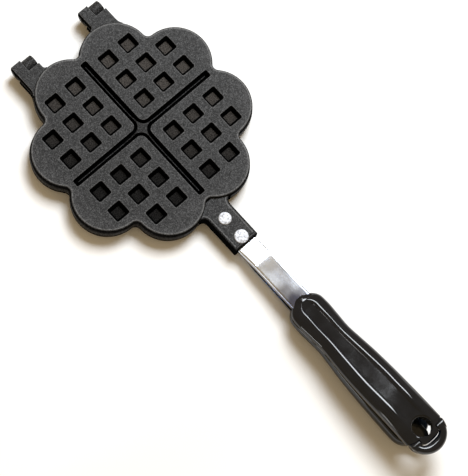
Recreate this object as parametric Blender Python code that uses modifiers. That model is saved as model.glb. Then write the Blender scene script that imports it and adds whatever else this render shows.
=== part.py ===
"""Stovetop waffle iron for four hearts, closed, as it lies on a table.

Two alike flower-shaped cast plates are pinned together at two ears. Each carries a pressed steel strap,
held by two rivets, and on it a moulded grip, held by two screws. A C-shaped latch ring swings from the
end of the upper grip over a nose on the lower one.

Frame: +X from the hinge towards the grips, +Y across, +Z up, origin in the middle of the face that the
iron rests on. Each half is modelled upwards from the parting plane; the lower half is turned half round
about the X axis of that plane.
"""

import math

import bmesh
import bpy
from mathutils import Matrix, Vector

# Cast plate, outside
LOBE_COUNT = 8
LOBE_CENTRE_RADIUS = 0.0586
LOBE_RADIUS = 0.0284
NOTCH_FILLET = 0.004
PLATE_HEIGHT = 0.00845
PARTING_GAP = 0.0003
WALL_DRAFT = 0.0007
PLATE_EDGE = 0.002

# Cast plate, baking side
RIM_WIDTH = 0.0045
FLOOR_THICKNESS = 0.0025
CAVITY_DRAFT = 0.0008
PEG_FIRST = 0.0165
PEG_PITCH = 0.020
PEG_ROOT = 0.0132
PEG_TOP = 0.0112
PEG_CLEAR = 0.00225
PEG_CORNER = 0.0014
RIDGE_ROOT_HALF = 0.0049
RIDGE_TOP_HALF = 0.0023
RIDGE_CLEAR = 0.00055
RIDGE_CORNER_CENTRE = 0.0099
RIDGE_BITE = 0.0015

# Cast plate, outer face
POCKET_MOUTH = 0.012
POCKET_FLOOR = 0.0084
POCKET_DEPTH = 0.0046
POCKET_CORNER = 0.0012
SLOT_OUTER = 0.0028
SLOT_INNER = 0.0006
SLOT_DRAFT = 0.00025
SLOT_DEPTH = 0.0052
SLOT_REACH = 0.0668
SLOT_CORNER_CENTRE = 0.0078

# Hinge ears, knuckles and pins
HINGE_CLEAR = 0.007
HINGE_REACH = LOBE_CENTRE_RADIUS + LOBE_RADIUS + HINGE_CLEAR
EAR_OFFSET = 0.0335
EAR_WIDTH = 0.0186
EAR_TOP = 0.0073
EAR_SETBACK = 0.0034
EAR_END = HINGE_REACH - EAR_SETBACK
EAR_EMBED = 0.015
EAR_ROOT = LOBE_CENTRE_RADIUS + LOBE_RADIUS - EAR_EMBED
EAR_CORNER = 0.0016
EAR_EDGE = 0.0009
KNUCKLE_RADIUS = 0.004
KNUCKLE_INSET = 0.0008
KNUCKLE_WEB_FILLET = 0.0018
KNUCKLE_WEB_ROOT = 0.0022
EAR_SLIT = 0.0006
SWING_GAP = 0.00035
PIN_RADIUS = 0.0015
PIN_GAP = 0.0003
PIN_CHAMFER = 0.0003

# Stub that carries the strap
STUB_ROOT = 0.070
STUB_END = 0.1165
STUB_HALF = 0.011
STUB_TOP = 0.0063
STUB_EDGE = 0.0018
STUB_FILLET = 0.004
CHANNEL_START = 0.084
CHANNEL_HALF = 0.0089
CHANNEL_ROOF = 0.0039

# Strap
STRAP_THICKNESS = 0.0013
STRAP_HALF = 0.0086
STRAP_START = 0.085
STRAP_RAMP_START = 0.117
STRAP_RAMP_END = 0.135
STRAP_LOW = 0.0036
STRAP_HIGH = 0.0072
STRAP_END_RISE = 0.0003
FLANGE_LOW_CLEAR = 0.0006
FLANGE_DEPTH = 0.005
TANG_LENGTH = 0.0575

# Rivets
RIVET_PLACES = (0.0921, 0.1102)
RIVET_HEAD_RADII = (0.0051, 0.0056)
RIVET_HEAD_HEIGHT = 0.0007
RIVET_SHANK_RADIUS = 0.0025
RIVET_TAIL_RADIUS = 0.0042
RIVET_TAIL_HEIGHT = 0.001
RIVET_CROWN_SHARE = 0.72
RIVET_TAIL_CROWN_SHARE = 0.8
HOLE_GAP = 0.0003
SEAT_GAP = 0.0003

# Grips
GRIP_FRONT = 0.1725
GRIP_LENGTH = 0.1365
LOWER_GRIP_SHORTFALL = 0.001
LOWER_GRIP_LENGTH = GRIP_LENGTH - LOWER_GRIP_SHORTFALL
GRIP_HALF = 0.0168
GRIP_CREST = 0.0186
GRIP_FOOT_ROUND = 0.0030
TROUGH_DEPTH = 0.0016
LOWER_END_ROUND = 0.0165
LOWER_TIP_SHARE = 0.3
TANG_GAP = 0.0003

# Places along a grip as shares of its length, each with a share of the size that the list is named for
HALF_WIDTH_SHARES = ((0.0, 0.54), (0.022, 0.70), (0.062, 0.82), (0.114, 0.863), (0.201, 0.84), (0.289, 0.80),
                     (0.385, 0.857), (0.473, 0.917), (0.612, 0.964), (0.751, 0.982), (1.0, 1.0))
INNER_SHARES = ((0.0, 0.054), (0.31, 0.054), (0.473, 0.097), (0.656, 0.161), (0.824, 0.226), (1.0, 0.28))
WIDEST_SHARES = ((0.0, 0.296), (0.2, 0.296), (0.289, 0.333), (0.473, 0.42), (0.656, 0.538),
                 (0.824, 0.624), (1.0, 0.645))
CREST_SHARES = ((0.0, 0.51), (0.015, 0.53), (0.04, 0.555), (0.128, 0.591), (0.289, 0.613), (0.473, 0.72),
                (0.656, 0.876), (0.802, 1.0), (0.875, 0.978), (1.0, 0.892))
CREST_HALF_SHARES = ((0.0, 0.27), (0.06, 0.40), (0.128, 0.446), (0.31, 0.363), (0.473, 0.476),
                     (0.656, 0.50), (0.824, 0.488), (1.0, 0.536))
TROUGH_SHARES = ((0.0, 0.0), (0.04, 0.0), (0.10, 1.0), (0.75, 1.0), (0.875, 0.0), (1.0, 0.0))
STATION_SHARES = (0.0, 0.012, 0.03, 0.062, 0.10, 0.15, 0.21, 0.289, 0.385, 0.473, 0.56, 0.656, 0.75,
                  0.81, 0.86, 0.90, 0.94, 0.97, 0.99, 1.0)

# Grip screws
SCREW_FRONT_REACH = 0.0175
SCREW_END_MARGIN = 0.008
SCREW_PLACES = (GRIP_FRONT + SCREW_FRONT_REACH, GRIP_FRONT + TANG_LENGTH - SCREW_END_MARGIN)
SCREW_HEAD_RADIUS = 0.0032
SCREW_HEAD_HEIGHT = 0.0018
SCREW_HEAD_SEAT = 0.0034
SCREW_SHANK_RADIUS = 0.0017
SCREW_TIP = 0.0082
SCREW_POINT_SHARE = 0.6
SCREW_CROWN_SHARE = 0.75

# Eye, tongue and latch
EYE_SETBACK = 0.0055
EYE_PLACE = GRIP_FRONT + GRIP_LENGTH - EYE_SETBACK
EYE_RADIUS = 0.0076
PIVOT_AHEAD = 0.0024
PIVOT_PLACE = GRIP_FRONT + GRIP_LENGTH + PIVOT_AHEAD
PIVOT_HEIGHT = 0.0117
TONGUE_HALF = 0.00815
TONGUE_TIP = 0.0043
TONGUE_BELOW = 0.003
TONGUE_ROOT_INSET = 0.0003
TONGUE_POWER = 0.6
LATCH_KNUCKLE_RADIUS = 0.0045
LATCH_SIDE_GAP = 0.00055
LATCH_SWING_GAP = 0.0004
RING_OUTER_RADIUS = 0.0163
RING_CENTRE_SETBACK = 0.0034
RING_INNER_REACH = 0.0055
RING_INNER_STEP = 0.0001
RING_HALF_HEIGHT = 0.0044
RING_POWER = 0.5
RING_SECTION_POWER = 0.7
LATCH_PIN_BITE = 0.0024
LATCH_PIN_INSET = 0.0003

# Catch nose on the lower grip
NOSE_HALF = 0.006
NOSE_RISE = 0.0032
NOSE_LIP = 0.0022
NOSE_AHEAD = 0.0011
NOSE_REACH = PIVOT_PLACE + NOSE_AHEAD
NOSE_STEM_BACK = 0.0099
NOSE_STEM_START = PIVOT_PLACE - NOSE_STEM_BACK
NOSE_STEM_FRONT = 0.0038
NOSE_STEM_END = PIVOT_PLACE - NOSE_STEM_FRONT
NOSE_EMBED = 0.003

# Fineness of round shapes, as counts of straight runs
LOBE_STEPS = 10
FILLET_STEPS = 3
EDGE_STEPS = 3
CORNER_STEPS = 4
ROUND_STEPS = 16
BORE_STEPS = 12
EYE_STEPS = 24
SECTION_STEPS = 3
RING_STEPS = 16
RAMP_STEPS = 5

# How far a cutter stands past what it cuts
OVERRUN = 0.002

# Points nearer than this are one point
MERGE_GAP = 0.000003

PART_NAME = "waffle_iron"

UPPER = Matrix.Translation((0, 0, PLATE_HEIGHT))
LOWER = UPPER @ Matrix.Rotation(math.pi, 4, 'X')


def clear_scene():
    """Remove every object, mesh, curve and collection left from an earlier run."""
    for old in list(bpy.data.objects):
        bpy.data.objects.remove(old, do_unlink=True)
    for group in (bpy.data.meshes, bpy.data.curves, bpy.data.materials, bpy.data.collections):
        for old in list(group):
            group.remove(old)


def new_collection(name):
    """Collection under the scene's own."""
    collection = bpy.data.collections.new(name)
    bpy.context.scene.collection.children.link(collection)
    return collection


def new_material(name, colour, roughness, metallic):
    """Principled material with a plain colour."""
    material = bpy.data.materials.new(name)
    material.use_nodes = True
    shader = material.node_tree.nodes["Principled BSDF"]
    shader.inputs["Base Color"].default_value = (*colour, 1)
    shader.inputs["Roughness"].default_value = roughness
    shader.inputs["Metallic"].default_value = metallic
    return material


def add_object(name, mesh, collection):
    """Object on a mesh, shaded smooth with its real edges kept sharp."""
    mesh.shade_smooth()
    mesh.set_sharp_from_angle(angle=math.radians(32))
    made = bpy.data.objects.new(name, mesh)
    collection.objects.link(made)
    return made


def mesh_from(name, shape):
    """Mesh of a bmesh whose faces all point out."""
    bmesh.ops.recalc_face_normals(shape, faces=shape.faces)
    mesh = bpy.data.meshes.new(name)
    shape.to_mesh(mesh)
    shape.free()
    return mesh


def loft_into(shape, rings):
    """Add a closed skin through rings of equally many points, capped at both ends."""
    loops = [[shape.verts.new(point) for point in ring] for ring in rings]
    count = len(loops[0])
    for first, second in zip(loops, loops[1:]):
        for k in range(count):
            nxt = (k + 1) % count
            shape.faces.new((first[k], first[nxt], second[nxt], second[k]))
    shape.faces.new(list(reversed(loops[0])))
    shape.faces.new(loops[-1])


def prism_mesh(name, outline, low, high, upright=False):
    """Closed prism on a flat outline, from a filled 2D curve: along Z, or along Y when upright."""
    curve = bpy.data.curves.new(name, 'CURVE')
    curve.dimensions = '2D'
    curve.fill_mode = 'BOTH'
    curve.extrude = (high - low) / 2
    spline = curve.splines.new('POLY')
    spline.points.add(len(outline) - 1)
    for point, (across, up) in zip(spline.points, outline):
        point.co = (across, up, 0, 1)
    spline.use_cyclic_u = True
    guide = bpy.data.objects.new(name, curve)
    bpy.context.scene.collection.objects.link(guide)
    middle = (low + high) / 2
    if upright:
        guide.matrix_world = Matrix.Translation((0, middle, 0)) @ Matrix.Rotation(math.pi / 2, 4, 'X')
    else:
        guide.matrix_world = Matrix.Translation((0, 0, middle))
    bpy.context.view_layer.update()
    evaluated = guide.evaluated_get(bpy.context.evaluated_depsgraph_get())
    mesh = bpy.data.meshes.new_from_object(evaluated)
    mesh.transform(guide.matrix_world)
    bpy.data.objects.remove(guide, do_unlink=True)
    bpy.data.curves.remove(curve)
    shape = bmesh.new()
    shape.from_mesh(mesh)
    bmesh.ops.remove_doubles(shape, verts=shape.verts, dist=MERGE_GAP)
    bpy.data.meshes.remove(mesh)
    return mesh_from(name, shape)


def box_into(shape, low, high):
    """Add a box between two corners."""
    low, high = Vector(low), Vector(high)
    size = Matrix.Diagonal((*(high - low), 1))
    bmesh.ops.create_cube(shape, size=1, matrix=Matrix.Translation((low + high) / 2) @ size)


def cylinder_into(shape, radius, start, end, steps):
    """Add a cylinder between two points on its axis."""
    start, end = Vector(start), Vector(end)
    along = end - start
    turn = Vector((0, 0, 1)).rotation_difference(along).to_matrix().to_4x4()
    place = Matrix.Translation((start + end) / 2) @ turn
    bmesh.ops.create_cone(shape, cap_ends=True, segments=steps, radius1=radius, radius2=radius,
                          depth=along.length, matrix=place)


def tapered_block_into(shape, centre, low, low_side, high, high_side, corner):
    """Add a square block whose side runs evenly from one height to another, its upright edges cut back."""
    place = Matrix.Translation((*centre, (low + high) / 2)) @ Matrix.Rotation(math.pi / 4, 4, 'Z')
    made = bmesh.ops.create_cone(shape, cap_ends=True, segments=4, radius1=low_side / math.sqrt(2),
                                 radius2=high_side / math.sqrt(2), depth=high - low, matrix=place)
    middle = (low + high) / 2
    upright = set()
    for vert in made["verts"]:
        for edge in vert.link_edges:
            first, second = edge.verts
            if (first.co.z - middle) * (second.co.z - middle) < 0:
                upright.add(edge)
    bmesh.ops.bevel(shape, geom=list(upright), offset=corner, segments=1, affect='EDGES')


def turned_object(name, profile, steps, collection):
    """Solid turned about Z from a profile of (radius, height) points that runs down its outer side."""
    mesh = bpy.data.meshes.new(name)
    points = [(radius, 0, height) for radius, height in profile]
    edges = [(k, k + 1) for k in range(len(points) - 1)]
    mesh.from_pydata(points, edges, [])
    made = bpy.data.objects.new(name, mesh)
    collection.objects.link(made)
    screw = made.modifiers.new("turn", 'SCREW')
    screw.steps = steps
    screw.render_steps = steps
    screw.use_merge_vertices = True
    screw.merge_threshold = MERGE_GAP
    screw.use_smooth_shade = False
    return made


def cut(target, mesh, operation='DIFFERENCE'):
    """Boolean of a target with a tool mesh in the target's own space; the tool stays as a hidden guide."""
    tool = bpy.data.objects.new(mesh.name, mesh)
    cutters.objects.link(tool)
    tool.parent = target
    tool.hide_render = True
    tool.display_type = 'WIRE'
    step = target.modifiers.new(mesh.name, 'BOOLEAN')
    step.operation = operation
    step.object = tool


def hide_cutters():
    """Take the cutters out of the view once everything is in place."""
    for tool in cutters.objects:
        tool.hide_set(True)


def evaluated_copy(name, source):
    """Mesh of an object with its modifiers applied."""
    bpy.context.view_layer.update()
    evaluated = source.evaluated_get(bpy.context.evaluated_depsgraph_get())
    mesh = bpy.data.meshes.new_from_object(evaluated)
    mesh.name = name
    return mesh


def place(made, world, material, carrier=None):
    """Put an object at a world matrix, hung on its joint's empty where it has one, and colour it."""
    if carrier:
        made.parent = carrier
        bpy.context.view_layer.update()
        made.matrix_parent_inverse = carrier.matrix_world.inverted()
    made.matrix_world = world
    made.data.materials.clear()
    made.data.materials.append(material)


def axis_empty(name, world, carrier=None):
    """Empty on a joint axis."""
    made = bpy.data.objects.new(name, None)
    parts.objects.link(made)
    if carrier:
        made.parent = carrier
        bpy.context.view_layer.update()
        made.matrix_parent_inverse = carrier.matrix_world.inverted()
    made.matrix_world = world
    made.empty_display_size = KNUCKLE_RADIUS
    bpy.context.view_layer.update()
    return made


def arc(centre, radius, start, end, steps):
    """Points of an arc between two angles, both ends included."""
    turns = [start + (end - start) * k / steps for k in range(steps + 1)]
    return [(centre[0] + radius * math.cos(turn), centre[1] + radius * math.sin(turn)) for turn in turns]


def at_height(outline, height):
    """Lift flat points to one height."""
    return [(along, across, height) for along, across in outline]


def flower_outline(inset):
    """Plate outline moved inwards: lobe arcs joined by hollow fillets in the notches between them."""
    half_pitch = math.pi / LOBE_COUNT
    along = LOBE_CENTRE_RADIUS * math.cos(half_pitch)
    across = LOBE_CENTRE_RADIUS * math.sin(half_pitch)
    reach = math.sqrt((LOBE_RADIUS + NOTCH_FILLET) ** 2 - across ** 2)
    meet = math.atan2(across, reach)
    outline = []
    for lobe in range(LOBE_COUNT):
        middle = half_pitch + 2 * half_pitch * lobe
        centre = (LOBE_CENTRE_RADIUS * math.cos(middle), LOBE_CENTRE_RADIUS * math.sin(middle))
        span = half_pitch + meet
        outline += arc(centre, LOBE_RADIUS - inset, middle - span, middle + span, LOBE_STEPS)
        notch = middle + half_pitch
        hollow = ((along + reach) * math.cos(notch), (along + reach) * math.sin(notch))
        back = notch + math.pi
        outline += arc(hollow, NOTCH_FILLET + inset, back + meet, back - meet, FILLET_STEPS)[1:-1]
    return outline


def edge_levels(top, edge, draft):
    """Heights and insets of a drafted wall that ends in a rounded edge."""
    levels = [(top - edge, draft)]
    for k in range(1, EDGE_STEPS + 1):
        turn = math.pi / 2 * k / EDGE_STEPS
        levels.append((top - edge * (1 - math.sin(turn)), draft + edge * (1 - math.cos(turn))))
    return levels


def rounded_rectangle(low, high, corner):
    """Rectangle between two corners with rounded corners, counter-clockwise."""
    centres = ((high[0] - corner, low[1] + corner), (high[0] - corner, high[1] - corner),
               (low[0] + corner, high[1] - corner), (low[0] + corner, low[1] + corner))
    outline = []
    for k, centre in enumerate(centres):
        start = math.pi / 2 * (k - 1)
        outline += arc(centre, corner, start, start + math.pi / 2, 2)
    return outline


def stub_outline(inset):
    """Stub seen from above: straight sides that flare in fillets against the two lobes beside it."""
    half_pitch = math.pi / LOBE_COUNT
    lobe_along = LOBE_CENTRE_RADIUS * math.cos(half_pitch)
    lobe_across = LOBE_CENTRE_RADIUS * math.sin(half_pitch)
    centre_across = STUB_HALF + STUB_FILLET
    gap = LOBE_RADIUS + STUB_FILLET
    centre_along = lobe_along + math.sqrt(gap ** 2 - (lobe_across - centre_across) ** 2)
    lean = math.atan2(lobe_across - centre_across, lobe_along - centre_along)
    fillet = arc((centre_along, centre_across), STUB_FILLET + inset, math.pi * 1.5, lean, FILLET_STEPS)
    side = [(STUB_END - inset, STUB_HALF - inset)] + fillet + [(STUB_ROOT, fillet[-1][1])]
    return side + [(along, -across) for along, across in reversed(side)]


def peg_places():
    """Centres of the pegs and pockets: three rows of three in each quarter, less the outermost corner."""
    centres = []
    for row in range(3):
        for column in range(3):
            if row + column < 4:
                along = PEG_FIRST + PEG_PITCH * column
                across = PEG_FIRST + PEG_PITCH * row
                centres += [(along, across), (-along, across), (along, -across), (-along, -across)]
    return centres


def cross_outline(half, reach):
    """Upright cross with rounded inner corners whose centres stay in one place at every width."""
    radius = RIDGE_CORNER_CENTRE - half
    outline = []
    for quarter in range(4):
        turn = quarter * math.pi / 2
        cos, sin = math.cos(turn), math.sin(turn)
        centre = (RIDGE_CORNER_CENTRE, RIDGE_CORNER_CENTRE)
        run = [(reach, -half), (reach, half)] + arc(centre, radius, math.pi * 1.5, math.pi, CORNER_STEPS)
        outline += [(cos * x - sin * y, sin * x + cos * y) for x, y in run]
    return outline


def slot_outline(draft):
    """One quarter's angled groove: a band that follows the two arms and rounds the corner between them."""
    outer, inner = SLOT_OUTER - draft, SLOT_INNER + draft
    middle, half = (outer + inner) / 2, (outer - inner) / 2
    end = SLOT_REACH - (SLOT_OUTER - SLOT_INNER) / 2
    corner = (SLOT_CORNER_CENTRE, SLOT_CORNER_CENTRE)
    outline = arc((end, middle), half, -math.pi / 2, math.pi / 2, CORNER_STEPS)
    outline += arc(corner, SLOT_CORNER_CENTRE - outer, math.pi * 1.5, math.pi, CORNER_STEPS)
    outline += arc((middle, end), half, 0, math.pi, CORNER_STEPS)
    outline += arc(corner, SLOT_CORNER_CENTRE - inner, math.pi, math.pi * 1.5, CORNER_STEPS)
    return outline


def plate_blank(collection):
    """Outer form of a half: flower slab with a drafted wall and a rounded edge."""
    shape = bmesh.new()
    levels = [(PARTING_GAP / 2, 0)] + edge_levels(PLATE_HEIGHT, PLATE_EDGE, WALL_DRAFT)
    loft_into(shape, [at_height(flower_outline(inset), height) for height, inset in levels])
    return add_object("upper_plate", mesh_from("upper_plate", shape), collection)


def ear_mesh(side):
    """Block of one hinge ear, its outer corners and upper edge softened."""
    shape = bmesh.new()
    rings = []
    for height, inset in [(PARTING_GAP / 2, 0)] + edge_levels(EAR_TOP, EAR_EDGE, 0):
        low = (-EAR_END + inset, side * EAR_OFFSET - EAR_WIDTH / 2 + inset)
        high = (-EAR_ROOT - inset, side * EAR_OFFSET + EAR_WIDTH / 2 - inset)
        rings.append(at_height(rounded_rectangle(low, high, EAR_CORNER), height))
    loft_into(shape, rings)
    return mesh_from(f"ear_{side}", shape)


def knuckle_span(side):
    """Ends across of the knuckle that the upper half has in one ear: always its -Y half."""
    inner = side * EAR_OFFSET - EAR_SLIT / 2
    return inner - EAR_WIDTH / 2 + EAR_SLIT / 2 + KNUCKLE_INSET, inner


def knuckle_mesh(side):
    """Barrel round the hinge axis with the web that carries it from the ear."""
    foot = PARTING_GAP / 2
    top_turn = math.asin(foot / KNUCKLE_RADIUS)
    barrel = arc((-HINGE_REACH, 0), KNUCKLE_RADIUS, top_turn, -math.pi * 1.5, ROUND_STEPS)
    top = KNUCKLE_RADIUS + KNUCKLE_WEB_FILLET
    centre = (-EAR_END - KNUCKLE_WEB_FILLET, top)
    fillet = arc(centre, KNUCKLE_WEB_FILLET, -math.pi / 2, 0, FILLET_STEPS)
    root = -EAR_END + KNUCKLE_WEB_ROOT
    outline = barrel + fillet + [(root, top), (root, foot)]
    low, high = knuckle_span(side)
    return prism_mesh(f"knuckle_{side}", outline, low, high, upright=True)


def make_plate():
    """One cast half with its pegs, ridges, pockets, slots, ears and stub."""
    plate = plate_blank(parts)
    for side in (-1, 1):
        cut(plate, ear_mesh(side), 'UNION')

    shape = bmesh.new()
    levels = [(PARTING_GAP / 2, 0)] + edge_levels(STUB_TOP, STUB_EDGE, 0)
    loft_into(shape, [at_height(stub_outline(inset), height) for height, inset in levels])
    cut(plate, mesh_from("stub", shape), 'UNION')

    floor = PLATE_HEIGHT - FLOOR_THICKNESS
    shape = bmesh.new()
    levels = ((-OVERRUN, RIM_WIDTH), (floor, RIM_WIDTH + CAVITY_DRAFT))
    loft_into(shape, [at_height(flower_outline(inset), height) for height, inset in levels])
    cut(plate, mesh_from("cavity", shape))

    shape = bmesh.new()
    embedded = floor + FLOOR_THICKNESS / 2
    peg_slope = (PEG_ROOT - PEG_TOP) / (floor - PEG_CLEAR)
    for centre in peg_places():
        tapered_block_into(shape, centre, PEG_CLEAR, PEG_TOP, embedded,
                           PEG_ROOT + peg_slope * (embedded - floor), PEG_CORNER)
    arm = math.hypot(*flower_outline(0)[LOBE_STEPS + 1]) - RIM_WIDTH + RIDGE_BITE
    ridge_slope = (RIDGE_ROOT_HALF - RIDGE_TOP_HALF) / (floor - RIDGE_CLEAR)
    ridge_embedded = RIDGE_ROOT_HALF + ridge_slope * (embedded - floor)
    rings = ((RIDGE_CLEAR, RIDGE_TOP_HALF), (embedded, ridge_embedded))
    loft_into(shape, [at_height(cross_outline(half, arm), height) for height, half in rings])
    cut(plate, mesh_from("pegs_and_ridges", shape), 'UNION')

    shape = bmesh.new()
    pocket_floor = PLATE_HEIGHT - POCKET_DEPTH
    pocket_slope = (POCKET_MOUTH - POCKET_FLOOR) / POCKET_DEPTH
    for centre in peg_places():
        tapered_block_into(shape, centre, pocket_floor, POCKET_FLOOR, PLATE_HEIGHT + OVERRUN,
                           POCKET_MOUTH + pocket_slope * OVERRUN, POCKET_CORNER)
    slot_levels = ((PLATE_HEIGHT - SLOT_DEPTH, SLOT_DRAFT), (PLATE_HEIGHT, 0), (PLATE_HEIGHT + OVERRUN, 0))
    for quarter in range(4):
        turn = Matrix.Rotation(quarter * math.pi / 2, 3, 'Z')
        rings = []
        for height, draft in slot_levels:
            rings.append([turn @ Vector(point) for point in at_height(slot_outline(draft), height)])
        loft_into(shape, rings)
    cut(plate, mesh_from("pockets_and_slots", shape))

    for side in (-1, 1):
        cut(plate, knuckle_mesh(side), 'UNION')
    shape = bmesh.new()
    for side in (-1, 1):
        middle = side * EAR_OFFSET
        cylinder_into(shape, KNUCKLE_RADIUS + SWING_GAP, (-HINGE_REACH, middle, 0),
                      (-HINGE_REACH, middle + EAR_WIDTH / 2 + OVERRUN, 0), ROUND_STEPS)
        low, high = knuckle_span(side)
        cylinder_into(shape, PIN_RADIUS + PIN_GAP, (-HINGE_REACH, low - OVERRUN, 0),
                      (-HINGE_REACH, middle - EAR_SLIT / 4, 0), BORE_STEPS)
    cut(plate, mesh_from("hinge_clearance", shape))

    shape = bmesh.new()
    box_into(shape, (CHANNEL_START, -CHANNEL_HALF, -OVERRUN),
             (STUB_END + OVERRUN, CHANNEL_HALF, CHANNEL_ROOF))
    cut(plate, mesh_from("channel", shape))
    cut(plate, hole_mesh("plate_rivet_holes", RIVET_PLACES, RIVET_SHANK_RADIUS + HOLE_GAP, 0, PLATE_HEIGHT))
    return plate


def hole_mesh(name, places, radius, low, high):
    """Upright cylinders on the middle line."""
    shape = bmesh.new()
    for along in places:
        cylinder_into(shape, radius, (along, 0, low), (along, 0, high), BORE_STEPS)
    return mesh_from(name, shape)


def strap_top(along):
    """Height of the strap's outer face: level in the stub, up a ramp with crisp bends, then nearly level."""
    if along <= STRAP_RAMP_START:
        return STRAP_LOW
    if along >= STRAP_RAMP_END:
        run = (along - STRAP_RAMP_END) / (GRIP_FRONT - STRAP_RAMP_END)
        return STRAP_HIGH + STRAP_END_RISE * min(1, run)
    run = (along - STRAP_RAMP_START) / (STRAP_RAMP_END - STRAP_RAMP_START)
    return STRAP_LOW + (STRAP_HIGH - STRAP_LOW) * (run + run * run * (3 - 2 * run)) / 2


def strap_stations():
    """Places along the strap: its ends, the ramp in even steps, and where the flanges stop."""
    stations = [STRAP_START]
    for k in range(RAMP_STEPS + 1):
        stations.append(STRAP_RAMP_START + (STRAP_RAMP_END - STRAP_RAMP_START) * k / RAMP_STEPS)
    stations += [GRIP_FRONT - TANG_GAP, GRIP_FRONT + TANG_LENGTH]
    return stations


def make_strap():
    """Pressed strap: a folded sheet with flanges along its free length and a flat tang for the grip."""
    inner_half = STRAP_HALF - STRAP_THICKNESS
    shape = bmesh.new()
    rows = []
    for along in strap_stations():
        top = strap_top(along)
        foot = max(FLANGE_LOW_CLEAR, top - FLANGE_DEPTH)
        across = [(-STRAP_HALF, foot), (-STRAP_HALF, top), (-inner_half, top),
                  (inner_half, top), (STRAP_HALF, top), (STRAP_HALF, foot)]
        rows.append([shape.verts.new((along, side, height)) for side, height in across])
    for first, second in zip(rows, rows[1:]):
        flanged = first is not rows[-2]
        for k in range(len(first) - 1):
            if flanged or k == 2:
                shape.faces.new((first[k], first[k + 1], second[k + 1], second[k]))
    loose = [vert for vert in shape.verts if not vert.link_faces]
    bmesh.ops.delete(shape, geom=loose, context='VERTS')
    bmesh.ops.recalc_face_normals(shape, faces=shape.faces)
    mesh = bpy.data.meshes.new("upper_strap")
    shape.to_mesh(mesh)
    shape.free()
    if mesh.polygons[len(mesh.polygons) // 2].normal.z < 0:
        mesh.flip_normals()
    strap = add_object("upper_strap", mesh, parts)
    solidify = strap.modifiers.new("sheet", 'SOLIDIFY')
    solidify.thickness = STRAP_THICKNESS
    solidify.offset = -1
    solidify.use_even_offset = True
    cut(strap, hole_mesh("strap_rivet_holes", RIVET_PLACES, RIVET_SHANK_RADIUS + HOLE_GAP, 0, PLATE_HEIGHT))
    tang_high = strap_top(GRIP_FRONT) + OVERRUN
    cut(strap, hole_mesh("strap_screw_holes", SCREW_PLACES, SCREW_SHANK_RADIUS + HOLE_GAP, 0, tang_high))
    return strap


def rivet_profile(head_radius):
    """Rivet from the middle of its outer head down its side to the middle of its tail."""
    seat = STUB_TOP + SEAT_GAP
    tail_seat = STRAP_LOW - STRAP_THICKNESS - SEAT_GAP
    top = seat + RIVET_HEAD_HEIGHT
    foot = tail_seat - RIVET_TAIL_HEIGHT
    crown = head_radius * RIVET_CROWN_SHARE
    tail_crown = RIVET_TAIL_RADIUS * RIVET_TAIL_CROWN_SHARE
    return [(0, top), (crown, top), (head_radius, seat + RIVET_HEAD_HEIGHT / 3), (head_radius, seat),
            (RIVET_SHANK_RADIUS, seat), (RIVET_SHANK_RADIUS, tail_seat), (RIVET_TAIL_RADIUS, tail_seat),
            (tail_crown, foot), (0, foot)]


def screw_profile():
    """Grip screw, tip up: from the middle of its tip down to the middle of its head."""
    point = SCREW_SHANK_RADIUS * SCREW_POINT_SHARE
    head_foot = SCREW_HEAD_SEAT - SCREW_HEAD_HEIGHT
    crown = SCREW_HEAD_RADIUS * SCREW_CROWN_SHARE
    slope = SCREW_SHANK_RADIUS - point
    return [(0, SCREW_TIP), (point, SCREW_TIP), (SCREW_SHANK_RADIUS, SCREW_TIP - slope),
            (SCREW_SHANK_RADIUS, SCREW_HEAD_SEAT), (SCREW_HEAD_RADIUS, SCREW_HEAD_SEAT),
            (SCREW_HEAD_RADIUS, head_foot + SCREW_HEAD_HEIGHT / 3), (crown, head_foot), (0, head_foot)]


def share_at(table, place_share):
    """Value of a table of shares at a place, on a smooth curve through its entries."""
    last = len(table) - 1
    k = 0
    while k < last - 1 and place_share > table[k + 1][0]:
        k += 1
    slopes = []
    for j in (k, k + 1):
        before, after = table[max(j - 1, 0)], table[min(j + 1, last)]
        slopes.append((after[1] - before[1]) / (after[0] - before[0]))
    (start, first), (end, second) = table[k], table[k + 1]
    span = end - start
    run = min(1, max(0, (place_share - start) / span))
    if first == second:
        slopes = [0, 0]
    ease = run * run * (3 - 2 * run)
    lead = run * (1 - run) ** 2 * span * slopes[0]
    trail = run * run * (run - 1) * span * slopes[1]
    return first + (second - first) * ease + lead + trail


def grip_section(half, inner, widest, crest, crest_half, trough):
    """Closed cross-section: flat inner face, rounded flanks and a crest on each side of a shallow trough."""
    side = [(0, inner)]
    for k in range(SECTION_STEPS + 1):
        turn = math.pi / 2 * k / SECTION_STEPS
        side.append((half - GRIP_FOOT_ROUND * (1 - math.sin(turn)),
                     widest - (widest - inner) * math.cos(turn)))
    for k in range(1, SECTION_STEPS + 1):
        turn = math.pi / 2 * k / SECTION_STEPS
        side.append((crest_half + (half - crest_half) * math.cos(turn),
                     widest + (crest - widest) * math.sin(turn)))
    for run_share in (2 / 3, 1 / 3):
        dip = trough * (1 + math.cos(math.pi * run_share)) / 2
        side.append((crest_half * run_share, crest - dip))
    side.append((0, crest - trough))
    return side + [(-across, up) for across, up in reversed(side[1:-1])]


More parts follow.
